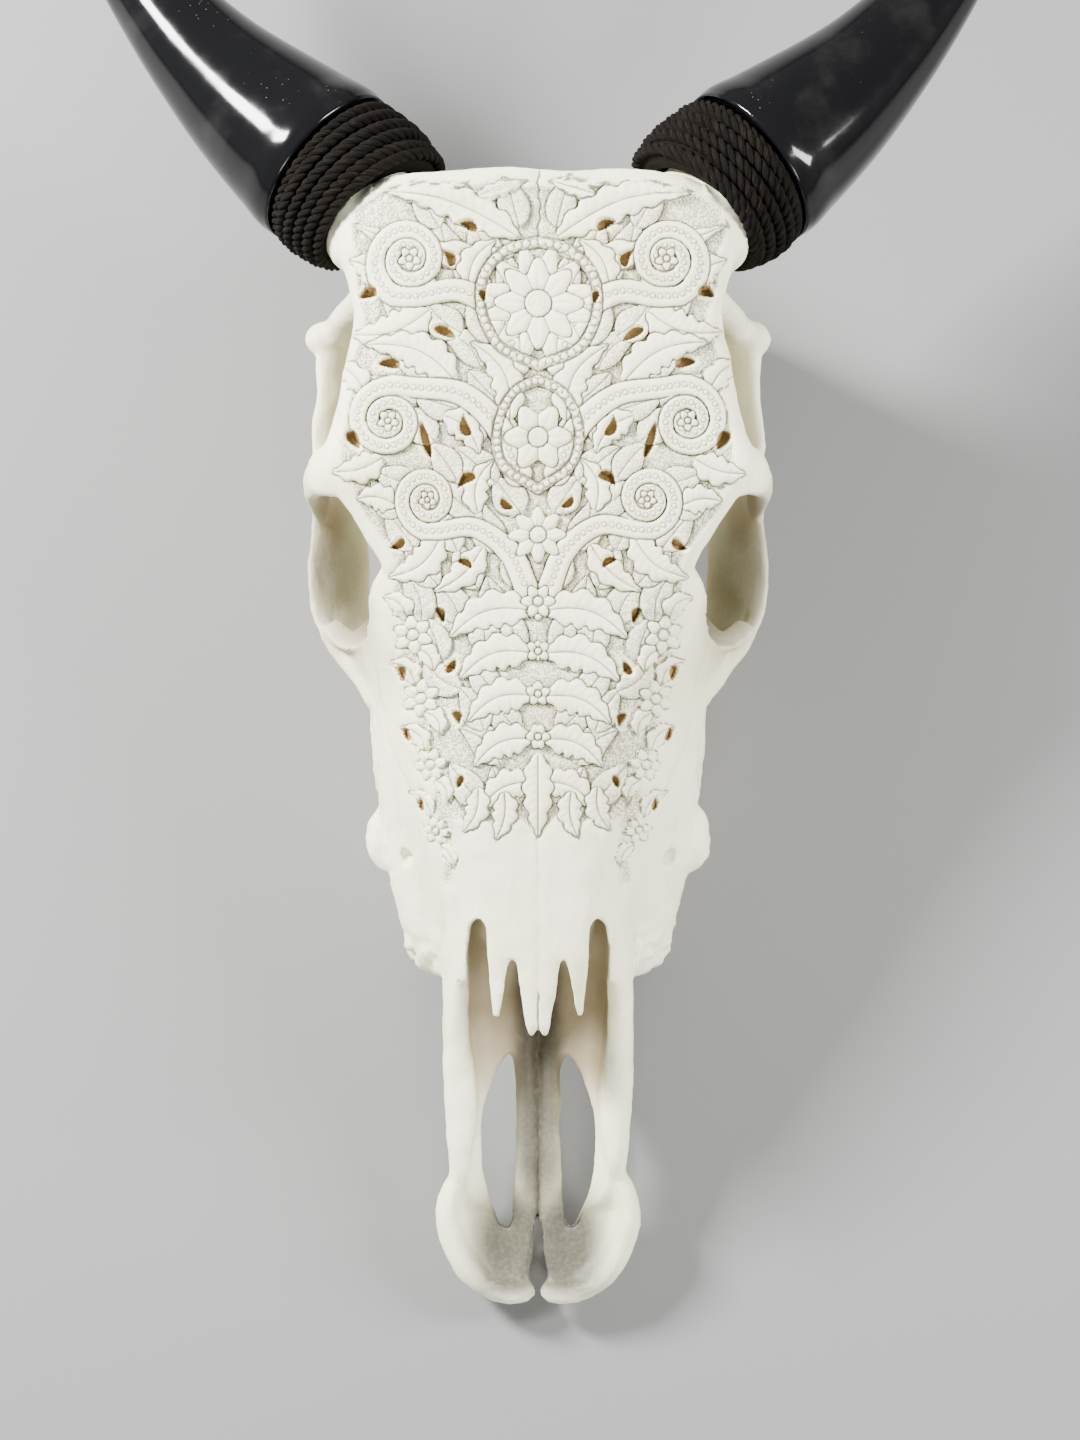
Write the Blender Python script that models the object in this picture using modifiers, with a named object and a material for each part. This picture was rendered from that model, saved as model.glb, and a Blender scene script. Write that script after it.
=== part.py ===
# A cow skull with black horns, each lashed at its root with a rope binding.
# Everything is drawn in the plane of the forehead: X across, Y from the nose to the poll, Z up out of
# the bone, in millimetres. One empty then tips the whole onto its cheek teeth and its rear processes.
import math

import bmesh
import bpy
import numpy as np
from mathutils import Matrix, Vector

MM = 0.001
SIDES = {"left": -1, "right": 1}

# How the skull lies: tipped nose down about X, then moved so that the teeth's grinding plane is the floor
# and the middle of the whole outline is the origin.
REST_TILT = math.radians(13.0)
GRIND_LINE_Y = -597.0
OUTLINE_MIDDLE_Y = 115.0

# Fineness of the bone: the clay grid, and the share of its triangles that is kept.
CLAY_GRID = 1.8
KEPT_SHARE = 0.0178
# Sides of every ring about a horn's axis.
AROUND = 20

# Horns: the axis leaves the rope's outer end at the horn mouth.
HORN_MOUTH = (90.0, 238.0, -43.0)
HORN_LENGTH = 270.0
HORN_STEP = 18.0
HORN_SPLAY = {"left": (0.0, 5.1), "right": (2.5, 2.5)}
HORN_TURN = ((0, 49.0), (30, 47.0), (60, 42.5), (85, 38.0), (110, 34.0), (150, 26.0), (200, 15.0),
             (270, 2.0))
HORN_RISE = ((0, -17.0), (100, -12.0), (200, 0.0), (270, 9.0))
HORN_RADIUS = ((0, 37.0), (4, 37.8), (20, 36.0), (57, 29.8), (83, 25.2), (105, 22.0), (150, 16.4),
               (200, 10.6), (240, 6.2), (262, 3.6), (270, 1.6))
# The bony core starts inside the skull's corner and tapers into the horn's socket. The tapers are the
# shares of the radius lost by the far end, and the flare widens the socket at the horn's mouth.
CORE_START = 46.0
CORE_RADIUS = 21.0
CORE_LENGTH = 72.0
CORE_TAPER = 0.45
SOCKET_RADIUS = 23.0
SOCKET_DEPTH = 90.0
SOCKET_TAPER = 0.42
SOCKET_FLARE = 8.0

# Rope: a drum of cord turns between the horn mouth and the corner of the skull.
ROPE_TURNS = 5
ROPE_GROOVE = 1.9
ROPE_BORE = 22.8
ROPE_GAP = 0.6
ROPE_DRUM = ((0, 35.4), (7, 36.6), (14, 35.6), (20, 32.0), (26, 26.5))
ROPE_STEPS_PER_TURN = 3
# The seat cut into the skull's corner for the drum: how far back it reaches, past the mouth, and out.
SHOULDER = 28.0
SEAT_OVERRUN = 3.0
SEAT_RADIUS = 48.0

# Cheek teeth, from the front to the rear: length along the row, width, both at the grinding face.
TOOTH_SIZES = ((14, 12), (17, 15), (18, 18), (24, 21), (27, 22), (28, 21))
TOOTH_ROW_FRONT = (46.0, -101.0)
TOOTH_ROW_REAR = (57.0, 30.0)
TOOTH_CROWN = 20.0
TOOTH_ROOT = 9.0
TOOTH_GAP = 0.5
SOCKET_CLEARANCE = 0.45
# A tooth's eight-sided outline keeps this share of each side, and swells above its worn face.
TOOTH_FLAT_SHARE = 0.42
TOOTH_SWELL = ((0.0, 0.92), (3.0, 1.0), (TOOTH_CROWN, 0.95), (TOOTH_CROWN + TOOTH_ROOT, 0.86))


def curve_through(knots, values):
    """A smooth function through the values at the knots."""
    knots = np.array(knots, float)
    values = np.array(values, float)
    slopes = np.gradient(values, knots, axis=0)

    def at(place):
        place = min(max(place, knots[0]), knots[-1])
        i = int(min(max(np.searchsorted(knots, place) - 1, 0), len(knots) - 2))
        span = knots[i + 1] - knots[i]
        u = (place - knots[i]) / span
        return ((2 * u**3 - 3 * u**2 + 1) * values[i] + (u**3 - 2 * u**2 + u) * span * slopes[i]
                + (3 * u**2 - 2 * u**3) * values[i + 1] + (u**3 - u**2) * span * slopes[i + 1])

    return at


def curve_of(pairs):
    return curve_through([p[0] for p in pairs], [p[1] for p in pairs])


def closed_ring(corners, steps):
    """Points on the smooth closed line through the corners."""
    ring = []
    count = len(corners)
    for i in range(count):
        a, b, c, d = (np.array(corners[(i + k) % count], float) for k in (-1, 0, 1, 2))
        for k in range(steps):
            u = k / steps
            ring.append(b + 0.5 * u * (c - a + u * (2 * a - 5 * b + 4 * c - d + u * (3 * (b - c) + d - a))))
    return ring


def add_rings(bm, rings, endless=False):
    """Skin between rings of points: closed at both ends, or endless, like a tyre."""
    rows = [[bm.verts.new(p) for p in ring] for ring in rings]
    count = len(rows[0])
    for near, far in zip(rows, rows[1:] + (rows[:1] if endless else [])):
        for i in range(count):
            j = (i + 1) % count
            bm.faces.new((near[i], near[j], far[j], far[i]))
    if not endless:
        bm.faces.new(rows[0][::-1])
        bm.faces.new(rows[-1])


def add_loft(bm, stations, step=4.0, ring_steps=5):
    """A form along Y, from half outlines (x, z) that run from its top middle to its bottom middle."""
    stations = sorted(stations)
    shape = curve_through([s[0] for s in stations], [s[1] for s in stations])
    first, last = stations[0][0], stations[-1][0]
    count = max(2, round((last - first) / step))
    rings = []
    for k in range(count + 1):
        y = first + (last - first) * k / count
        half = shape(y)
        corners = [tuple(p) for p in half] + [(-x, z) for x, z in half[-2:0:-1]]
        rings.append([(x, y, z) for x, z in closed_ring(corners, ring_steps)])
    add_rings(bm, rings)


def add_limb(bm, joints, side=1, step=5.0, around=16, face=(0, 0, 1)):
    """A bar of oval section through joints (point, half width, half height); face is its height's way."""
    points = [np.array(j[0], float) * (side, 1, 1) for j in joints]
    reach = np.concatenate([[0], np.cumsum([np.linalg.norm(b - a) for a, b in zip(points, points[1:])])])
    path = curve_through(reach, points)
    sizes = curve_through(reach, [j[1:] for j in joints])
    count = max(2, round(reach[-1] / step))
    rings = []
    for k in range(count + 1):
        s = reach[-1] * k / count
        along = Vector(path(min(s + 0.5, reach[-1])) - path(max(s - 0.5, 0)))
        across = along.cross(Vector(face) * Vector((side, 1, 1))).normalized()
        rise = across.cross(along).normalized()
        wide, high = np.maximum(sizes(s), 0.5)
        middle = Vector(path(s))
        turn = [2 * math.pi * i / around for i in range(around)]
        rings.append([middle + across * wide * math.cos(t) + rise * high * math.sin(t) for t in turn])
    add_rings(bm, rings)


def add_ball(bm, centre, radii, side=1):
    place = Matrix.Translation((centre[0] * side, centre[1], centre[2])) @ Matrix.Diagonal((*radii, 1))
    bmesh.ops.create_uvsphere(bm, u_segments=20, v_segments=12, radius=1.0, matrix=place)


def add_plan(bm, outline, low, high, side=1, smooth=True):
    """A block with a flat outline (x, y) seen from above, from one height to another."""
    flat = closed_ring(outline, 4) if smooth else outline
    add_rings(bm, [[(x * side, y, z) for x, y in flat] for z in (low, high)])


def horn_axis(side_name):
    """Points and directions along the horn, from its mouth to its tip."""
    turn, rise = curve_of(HORN_TURN), curve_of(HORN_RISE)
    side, splay = SIDES[side_name], HORN_SPLAY[side_name]
    count = round(HORN_LENGTH / HORN_STEP)
    point = Vector(HORN_MOUTH) * Vector((side, 1, 1))
    line = []
    for k in range(count + 1):
        s = HORN_LENGTH * k / count
        a = math.radians(turn(s) + splay[0] + (splay[1] - splay[0]) * s / HORN_LENGTH)
        b = math.radians(rise(s))
        way = Vector((side * math.sin(a) * math.cos(b), math.cos(a) * math.cos(b), math.sin(b)))
        line.append((s, point.copy(), way))
        point += way * HORN_LENGTH / count
    return line


def ring_about(point, way, radius, around):
    across = way.cross(Vector((0, 0, 1))).normalized()
    up = across.cross(way)
    turn = [2 * math.pi * i / around for i in range(around)]
    return [point + (across * math.cos(t) + up * math.sin(t)) * radius for t in turn]


def rings_behind_mouth(side_name, stops):
    """Rings about the horn's axis at (distance back from the mouth, radius)."""
    _, mouth, way = horn_axis(side_name)[0]
    return [ring_about(mouth - way * back, way, radius, AROUND) for back, radius in stops]


def horn_core(side_name, start, end, radius):
    """Rings of the bony core, from inside the skull's corner to inside the horn."""
    rings = rings_behind_mouth(side_name, ((start, radius), (start / 2, radius), (0, radius)))
    for s, point, way in horn_axis(side_name):
        if 0 < s <= end:
            rings.append(ring_about(point, way, radius * (1 - CORE_TAPER * (s / end) ** 2), AROUND))
    return rings


# Half outlines of the brain case with the broad frontal plate on it: top middle, plate, plate edge,
# under the edge, side of the case, floor.
CRANIUM = (
    (232, ((0, 0), (30, -1), (52, -3), (62, -9), (54, -16), (40, -20), (26, -22), (12, -24), (0, -24))),
    (226, ((0, 1), (36, 1), (62, -2), (72, -12), (64, -26), (54, -36), (40, -44), (20, -48), (0, -48))),
    (214, ((0, 0), (45, 0), (74, -4), (83, -18), (74, -36), (66, -58), (56, -80), (28, -92), (0, -92))),
    (202, ((0, 0), (48, 0), (78, -5), (86, -18), (76, -34), (69, -66), (67, -104), (40, -130), (0, -134))),
    (186, ((0, 0), (46, 0), (74, -5), (81, -15), (73, -27), (70, -66), (76, -104), (44, -134), (0, -140))),
    (172, ((0, 0), (44, 0), (71, -4), (78, -14), (70, -32), (60, -66), (74, -98), (40, -128), (0, -138))),
    (150, ((0, 0), (46, 0), (74, -4), (82, -14), (72, -30), (48, -60), (48, -94), (30, -122), (0, -134))),
    (125, ((0, -1), (48, -1), (78, -5), (87, -14), (75, -28), (45, -54), (42, -88), (24, -116), (0, -128))),
    (105, ((0, -2), (50, -2), (84, -5), (93, -13), (79, -24), (42, -48), (36, -82), (20, -108), (0, -122))),
    (92, ((0, -2), (48, -2), (74, -5), (83, -12), (68, -20), (38, -44), (32, -78), (18, -104), (0, -116))),
    (78, ((0, -2), (44, -2), (66, -5), (74, -12), (62, -20), (38, -44), (30, -76), (18, -100), (0, -110))),
    (62, ((0, -2), (40, -2), (58, -5), (65, -12), (58, -22), (42, -44), (34, -74), (22, -98), (0, -106))),
    (46, ((0, -2), (38, -3), (56, -7), (62, -14), (58, -26), (46, -46), (38, -72), (24, -96), (0, -102))),
)

# Half outlines of the face: nasal bridge, its edge, the side under it, the facial crest, the gum, the
# tooth ridge, the palate.
FACE = (
    (64, ((0, -9), (34, -10), (54, -14), (62, -24), (56, -42), (42, -72), (32, -98), (0, -98))),
    (56, ((0, -5), (38, -6), (62, -12), (71, -23), (66, -46), (50, -80), (38, -104), (0, -99))),
    (44, ((0, -2), (38, -4), (60, -12), (71, -24), (77, -50), (64, -92), (50, -117), (0, -100))),
    (28, ((0, -2), (35, -4), (56, -13), (69, -30), (82, -60), (69, -100), (58, -127), (0, -104))),
    (12, ((0, -2), (32, -4), (51, -14), (65, -36), (75, -64), (70, -101), (60, -124), (0, -100))),
    (-12, ((0, -3), (30, -5), (47, -16), (62, -40), (73, -67), (68, -98), (59, -118), (0, -95))),
    (-38, ((0, -5), (27, -7), (43, -19), (58, -44), (70, -70), (64, -93), (56, -112), (0, -91))),
    (-58, ((0, -8), (25, -10), (39, -23), (52, -46), (67, -70), (62, -88), (54, -107), (0, -88))),
    (-78, ((0, -11), (23, -13), (36, -28), (47, -48), (62, -68), (61, -84), (52, -102), (0, -85))),
    (-96, ((0, -14), (22, -16), (35, -33), (43, -50), (55, -67), (59, -81), (50, -98), (0, -83))),
    (-107, ((0, -15), (21, -18), (35, -36), (41, -50), (48, -66), (55, -80), (46, -95), (0, -82))),
    (-113, ((0, -17), (20, -20), (34, -38), (39, -50), (42, -66), (47, -79), (40, -92), (0, -82))),
)

# Half outlines of the two nasal bones, a thin arched roof.
NASALS = (
    (-50, ((0, -6), (14, -7), (25, -9), (29, -14), (24, -16), (12, -13), (0, -12))),
    (-84, ((0, -11), (13, -12), (22, -14), (25, -18), (21, -20), (12, -18), (0, -17))),
    (-110, ((0, -15), (12, -16), (20, -19), (22, -22), (19, -24), (11, -22), (0, -21))),
    (-137, ((0, -20), (11, -21), (18, -24), (20, -26), (17, -28), (10, -27), (0, -26))),
)

# Half outlines of the muzzle: both side rails and the floor of the nose between them.
MUZZLE = (
    (-88, ((0, -36), (24, -33), (34, -30), (40, -42), (41, -62), (38, -80), (26, -88), (0, -82))),
    (-104, ((0, -40), (26, -37), (35, -35), (41, -46), (41, -63), (37, -79), (25, -86), (0, -81))),
    (-122, ((0, -42), (26, -42), (36, -40), (41, -48), (41, -61), (36, -76), (24, -83), (0, -79))),
    (-145, ((0, -46), (26, -46), (36, -45), (41, -51), (41, -60), (35, -72), (24, -78), (0, -76))),
    (-172, ((0, -50), (26, -50), (35, -49), (40, -54), (40, -61), (34, -70), (24, -74), (0, -73))),
    (-200, ((0, -54), (26, -53), (35, -52), (39, -56), (39, -62), (35, -69), (24, -72), (0, -72))),
)


def add_premaxilla_tip(bm, side):
    """One paddle end of the upper jaw: a flat lobe with a thick rounded rim."""
    lobe = ((2.5, -198), (38, -196), (42, -206), (43.5, -217), (40, -231), (33, -243), (23, -252),
            (12, -256.5), (4, -255), (4, -244), (6, -232), (2.5, -220))
    add_plan(bm, lobe, -71, -64, side)
    rim = (((36, -186, -57), 5, 6), ((38, -200, -59), 5.5, 7), ((39, -214, -61), 5.5, 7),
           ((35.5, -229, -62), 5.5, 6.5), ((28, -242, -63), 5.5, 6), ((18, -250, -64), 5.5, 5.5),
           ((9, -252, -66), 4.5, 4.5))
    midline_rod = (((6.2, -118, -74), 5, 6), ((6.2, -150, -68), 4.4, 6), ((6, -185, -64), 4.6, 6),
                   ((6, -212, -64), 5, 5), ((9, -234, -68), 4.5, 4))
    add_limb(bm, rim, side)
    add_limb(bm, midline_rod, side)


def add_cheek(bm, side):
    """The cheek bone and arch: the orbit's lower rim, the bar behind the orbit and the arch to the ear."""
    arch = (((60, 4, -64), 9, 14), ((69, 18, -67), 7, 16), ((80, 32, -73), 5, 17),
            ((87, 47, -78), 3.8, 18), ((88, 64, -81), 3.4, 19), ((88, 84, -83), 3.4, 17),
            ((89, 104, -86), 3.6, 14), ((92, 124, -90), 3.8, 12), ((91, 146, -93), 4, 10),
            ((92, 162, -95), 5, 9), ((88, 172, -97), 7, 9), ((72, 176, -98), 9, 11),
            ((52, 176, -100), 10, 14))
    orbit_bar = (((76, 107, -9), 14, 6), ((90, 106, -16), 11, 5.5), ((96, 103, -34), 8, 4.2),
                 ((98, 101, -54), 8, 4.2), ((96, 99, -74), 12, 4.6))
    front_rim = (((60, 68, -14), 4, 5), ((67, 56, -20), 4, 5), ((72, 43, -34), 4.5, 5.5),
                 ((80, 34, -50), 5, 6), ((90, 40, -64), 5, 6))
    temple_ridge = (((70, 184, -24), 10, 8), ((74, 182, -52), 8, 9), ((82, 178, -76), 7, 9),
                    ((90, 173, -94), 7, 7))
    add_limb(bm, arch, side, face=(0.7, 0, 0.72))
    add_limb(bm, orbit_bar, side, face=(1, 0, 0.3))
    add_limb(bm, front_rim, side)
    add_limb(bm, temple_ridge, side, face=(1, 0, 0.2))
    # the knob at the arch's rear end, and the bump of the cheek over the third tooth
    add_ball(bm, (96, 170, -92), (8, 8, 6), side)
    add_ball(bm, (67, -52, -76), (9, 15, 8), side)


def add_skull_base(bm, side):
    """The underside of the brain case: condyles, rear processes, ear bullae and pterygoid plates."""
    rear_process = (((58, 194, -110), 10, 14), ((62, 190, -140), 8, 12), ((60, 184, -163), 6, 9),
                    ((57, 180, -178.6), 5, 6.5))
    pterygoid_plate = (((44, 28, -104), 5, 14), ((33, 48, -104), 4, 16), ((27, 70, -110), 3.5, 17),
                       ((24, 96, -118), 3.5, 12))
    condyle, bulla = (27, 204, -128), (39, 164, -128)
    add_ball(bm, condyle, (17, 17, 24), side)
    add_limb(bm, rear_process, side, face=(0, 1, 0))
    add_ball(bm, bulla, (12, 15, 17), side)
    add_limb(bm, pterygoid_plate, side)


def add_bone(bm):
    add_loft(bm, CRANIUM)
    add_loft(bm, FACE)
    add_loft(bm, MUZZLE)
    add_loft(bm, NASALS)
    base_bar = (((0, 200, -136), 20, 9), ((0, 160, -134), 15, 9), ((0, 110, -122), 10, 10))
    horn_corner = (64, 210, -28)
    add_limb(bm, base_bar)
    for name, side in SIDES.items():
        add_premaxilla_tip(bm, side)
        add_cheek(bm, side)
        add_skull_base(bm, side)
        add_ball(bm, horn_corner, (29, 25, 25), side)
        add_rings(bm, horn_core(name, CORE_START, CORE_LENGTH, CORE_RADIUS))


# Half outline of the air space in the nose, and of the palate's way out behind the teeth.
AIRWAY = (
    (40, ((0, -60), (8, -60), (14, -66), (16, -80), (14, -94), (8, -100), (0, -100))),
    (10, ((0, -40), (14, -42), (22, -56), (24, -72), (20, -86), (10, -92), (0, -92))),
    (-30, ((0, -18), (14, -20), (26, -36), (30, -58), (26, -78), (14, -86), (0, -86))),
    (-70, ((0, -18), (14, -20), (27, -36), (31, -56), (26, -74), (14, -80), (0, -80))),
    (-100, ((0, -21), (14, -23), (28, -36), (31, -54), (26, -70), (14, -75), (0, -75))),
    (-132, ((0, -27), (14, -28), (28, -36), (30, -52), (26, -66), (14, -70), (0, -70))),
    (-165, ((0, -20), (14, -20), (29, -34), (27, -52), (23, -63), (14, -66), (0, -66))),
    (-205, ((0, -10), (14, -10), (29, -24), (31, -52), (26, -62), (14, -64), (0, -64))),
    (-246, ((0, -10), (10, -10), (20, -24), (24, -52), (20, -62), (12, -64), (0, -64))),
)
# The open front of the nose seen from above: the notch beside the nasal bones, their two points on each
# side, and the rails.
NOSE_OPENING = ((24.6, -83.5), (21.6, -88), (20.6, -104), (18.4, -126), (16.6, -126), (14.6, -110),
                (12, -101.5), (9.6, -101.5), (8.0, -110), (5.8, -122), (3.6, -133), (1.8, -132), (0.5, -124),
                (0, -124), (0, -170), (25, -170), (29.5, -132), (30.5, -100), (29, -87))
FISSURE = ((12.8, -146), (19, -156), (24.5, -172), (25, -190), (22.5, -207), (17, -220), (12.8, -222),
           (11, -212), (9.8, -192), (9.6, -168), (10.4, -152))
FRONT_SLIT = ((0.6, -215), (3.4, -228), (4.6, -238), (3.6, -250), (3.0, -275), (-3.0, -275), (-3.6, -250),
              (-4.6, -238), (-3.4, -228), (-0.6, -215))


def add_hollows(bm):
    """Everything that is open: nose, brain case from the foramen magnum, throat, orbits, small holes."""
    brain_case = (((0, 240, -112), 17, 16), ((0, 200, -112), 19, 17), ((0, 186, -104), 22, 22),
                  ((0, 160, -80), 34, 34), ((0, 130, -66), 30, 34), ((0, 108, -60), 12, 16))
    throat = (((0, 36, -90), 14, 12), ((0, 62, -112), 15, 14), ((0, 84, -134), 16, 16))
    orbit = (((126, 60, -22), 38, 34), ((92, 62, -40), 34, 27), ((70, 68, -44), 27, 22),
             ((54, 82, -46), 15, 14))
    infraorbital_hole = (((60, -60, -56), 4, 5), ((44, -58, -54), 3, 4))
    add_loft(bm, AIRWAY)
    add_plan(bm, FRONT_SLIT, -90, -40, smooth=False)
    add_limb(bm, brain_case)
    add_limb(bm, throat, face=(0, 1, 1))
    for name, side in SIDES.items():
        seat = ((SHOULDER, CORE_RADIUS), (-SEAT_OVERRUN, CORE_RADIUS), (-SEAT_OVERRUN, SEAT_RADIUS),
                (SHOULDER, SEAT_RADIUS))
        add_rings(bm, rings_behind_mouth(name, seat), endless=True)
        add_plan(bm, NOSE_OPENING, -60, 10, side, smooth=False)
        add_plan(bm, FISSURE, -95, -40, side)
        add_limb(bm, orbit, side)
        add_limb(bm, infraorbital_hole, side)


def make_object(name, bm, collection, tilt=None):
    bmesh.ops.recalc_face_normals(bm, faces=bm.faces)
    bmesh.ops.scale(bm, vec=(MM, MM, MM), verts=bm.verts)
    mesh = bpy.data.meshes.new(name)
    bm.to_mesh(mesh)
    bm.free()
    obj = bpy.data.objects.new(name, mesh)
    collection.objects.link(obj)
    obj.parent = tilt
    return obj


def finish_surface(obj, colour, roughness, sharp=40):
    material = bpy.data.materials.new(obj.name)
    material.use_nodes = True
    shader = material.node_tree.nodes["Principled BSDF"]
    shader.inputs["Base Color"].default_value = (*colour, 1)
    shader.inputs["Roughness"].default_value = roughness
    shader.inputs["Metallic"].default_value = 0.0
    obj.data.materials.append(material)
    obj.data.shade_smooth()
    obj.data.set_sharp_from_angle(angle=math.radians(sharp))


def new_collection(name):
    collection = bpy.data.collections.new(name)
    bpy.context.scene.collection.children.link(collection)
    return collection


def hide_cutter(obj):
    obj.hide_render = True
    obj.display_type = "WIRE"


def clay(obj, grid):
    remesh = obj.modifiers.new("clay", "REMESH")
    remesh.mode = "VOXEL"
    remesh.voxel_size = grid * MM
    remesh.adaptivity = 0.0


def cut_with(obj, cutter, name):
    cut = obj.modifiers.new(name, "BOOLEAN")
    cut.operation = "DIFFERENCE"
    cut.object = cutter
    cut.solver = "EXACT"


def make_skull(pieces, cutters, tilt):
    bm = bmesh.new()
    add_bone(bm)
    skull = make_object("skull", bm, pieces, tilt)
    bm = bmesh.new()
    add_hollows(bm)
    hollows = make_object("hollows", bm, cutters, tilt)
    clay(hollows, CLAY_GRID)
    hide_cutter(hollows)
    clay(skull, CLAY_GRID)
    cut_with(skull, hollows, "open hollows")
    clay(skull, CLAY_GRID)
    soften = skull.modifiers.new("soften", "SMOOTH")
    soften.factor = 0.5
    soften.iterations = 2
    thin = skull.modifiers.new("fewer faces", "DECIMATE")
    thin.ratio = KEPT_SHARE
    return skull


def make_horn(side_name, pieces, tilt):
    """The horn's sheath, with a socket for the core."""
    radius = curve_of(HORN_RADIUS)
    line = horn_axis(side_name)
    socket = [(s, p, w) for s, p, w in line if s <= SOCKET_DEPTH]
    rings = []
    for s, point, way in socket[::-1]:
        share = s / SOCKET_DEPTH
        bore = SOCKET_RADIUS * (1 - SOCKET_TAPER * share**2) + SOCKET_FLARE * (1 - share) ** 3
        rings.append(ring_about(point, way, bore, AROUND))
    rings += [ring_about(point, way, radius(s), AROUND) for s, point, way in line]
    bm = bmesh.new()
    add_rings(bm, rings)
    horn = make_object("horn_" + side_name, bm, pieces, tilt)
    finish_surface(horn, (0.012, 0.012, 0.013), 0.12)


def make_rope(side_name, pieces, tilt):
    """The wound binding: a ring whose outside is a row of cord turns."""
    drum = curve_of(ROPE_DRUM)
    length = ROPE_DRUM[-1][0]
    ends = ((length, ROPE_BORE), (ROPE_GAP, ROPE_BORE))
    outside = []
    steps = ROPE_TURNS * ROPE_STEPS_PER_TURN
    for k in range(steps + 1):
        back = ROPE_GAP + (length - ROPE_GAP) * k / steps
        swell = abs(math.sin(math.pi * ROPE_TURNS * k / steps)) - 1.0
        outside.append((back, drum(back) + swell * ROPE_GROOVE))
    bm = bmesh.new()
    add_rings(bm, rings_behind_mouth(side_name, (*ends, *outside)), endless=True)
    rope = make_object("rope_" + side_name, bm, pieces, tilt)
    finish_surface(rope, (0.05, 0.036, 0.026), 0.9)


def tooth_places():
    """Middle, length and width of each cheek tooth along one row, in the plane of the floor."""
    front, rear = Vector(TOOTH_ROW_FRONT), Vector(TOOTH_ROW_REAR)
    way = (rear - front).normalized()
    free = (rear - front).length - sum(length for length, _ in TOOTH_SIZES)
    gap = free / (len(TOOTH_SIZES) - 1)
    reach = 0.0
    places = []
    for length, width in TOOTH_SIZES:
        places.append((front + way * (reach + length / 2), length, width))
        reach += length + gap
    return places, math.atan2(-way.x, way.y)


def tooth_block(bm, length, width, grow):
    """A ground-down cheek tooth: flat on its grinding face, narrower at the root."""
    near, root = TOOTH_SWELL[0][0], TOOTH_SWELL[-1][0]
    rings = []
    for height, share in TOOTH_SWELL:
        x, y = width / 2 * share + grow, length / 2 * share + grow
        u, v = x * TOOTH_FLAT_SHARE, y * TOOTH_FLAT_SHARE
        flat = ((x, v), (u, y), (-u, y), (-x, v), (-x, -v), (-u, -y), (u, -y), (x, -v))
        # a socket's block reaches past both of the tooth's ends
        z = height + {near: -grow, root: grow}.get(height, 0.0)
        rings.append([(a, b, z) for a, b in flat])
    add_rings(bm, rings)


def make_teeth(pieces, cutters, skull, tilt):
    """Six cheek teeth a side, standing on the floor plane, and the sockets that take their roots."""
    places, slant = tooth_places()
    floor = bpy.data.objects.new("grinding_plane", None)
    pieces.objects.link(floor)
    sockets = bmesh.new()
    for side_name, side in SIDES.items():
        for number, (middle, length, width) in enumerate(places, 1):
            # the row is drawn in the forehead's plane and dropped onto the floor
            y, z = middle.y, -(middle.y - GRIND_LINE_Y) * math.tan(REST_TILT)
            ground_y = y * math.cos(REST_TILT) - z * math.sin(REST_TILT)
            place = (Matrix.Translation((middle.x * side, ground_y, 0))
                     @ Matrix.Rotation(slant * side, 4, "Z"))
            bm = bmesh.new()
            tooth_block(bm, length - TOOTH_GAP, width, 0.0)
            bm.transform(place)
            tooth = make_object("cheek_tooth_%s_%d" % (side_name, number), bm, pieces, floor)
            finish_surface(tooth, (0.62, 0.52, 0.36), 0.35)
            hole = bmesh.new()
            tooth_block(hole, length - TOOTH_GAP, width, SOCKET_CLEARANCE)
            hole.transform(place)
            spare = bpy.data.meshes.new("hole")
            hole.to_mesh(spare)
            sockets.from_mesh(spare)
            hole.free()
            bpy.data.meshes.remove(spare)
    holes = make_object("tooth_sockets", sockets, cutters, floor)
    hide_cutter(holes)
    cut_with(skull, holes, "tooth sockets")
    return floor


def build():
    for obj in list(bpy.data.objects):
        bpy.data.objects.remove(obj)
    pieces = new_collection("carved_cow_skull")
    cutters = new_collection("cutters")
    tilt = bpy.data.objects.new("resting_pose", None)
    pieces.objects.link(tilt)
    skull = make_skull(pieces, cutters, tilt)
    finish_surface(skull, (0.84, 0.82, 0.75), 0.6)
    floor = make_teeth(pieces, cutters, skull, tilt)
    for side_name in SIDES:
        make_horn(side_name, pieces, tilt)
        make_rope(side_name, pieces, tilt)
    rise = -GRIND_LINE_Y * math.sin(REST_TILT) * MM
    tilt.rotation_euler = (REST_TILT, 0, 0)
    tilt.location = (0, -OUTLINE_MIDDLE_Y * MM, rise)
    floor.location = (0, -OUTLINE_MIDDLE_Y * MM, 0)


build()
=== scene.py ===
# A carved cow skull with polished black horns, each lashed at its root with a twisted cord.
# Forms are drawn in the forehead's own plane, in millimetres: X across, Y from the nose to the poll, Z up
# out of the bone. place_piece turns each finished mesh into metres and tips it onto the cheek teeth.
import math

import bmesh
import bpy
import numpy as np
from mathutils import Matrix, Vector


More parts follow.
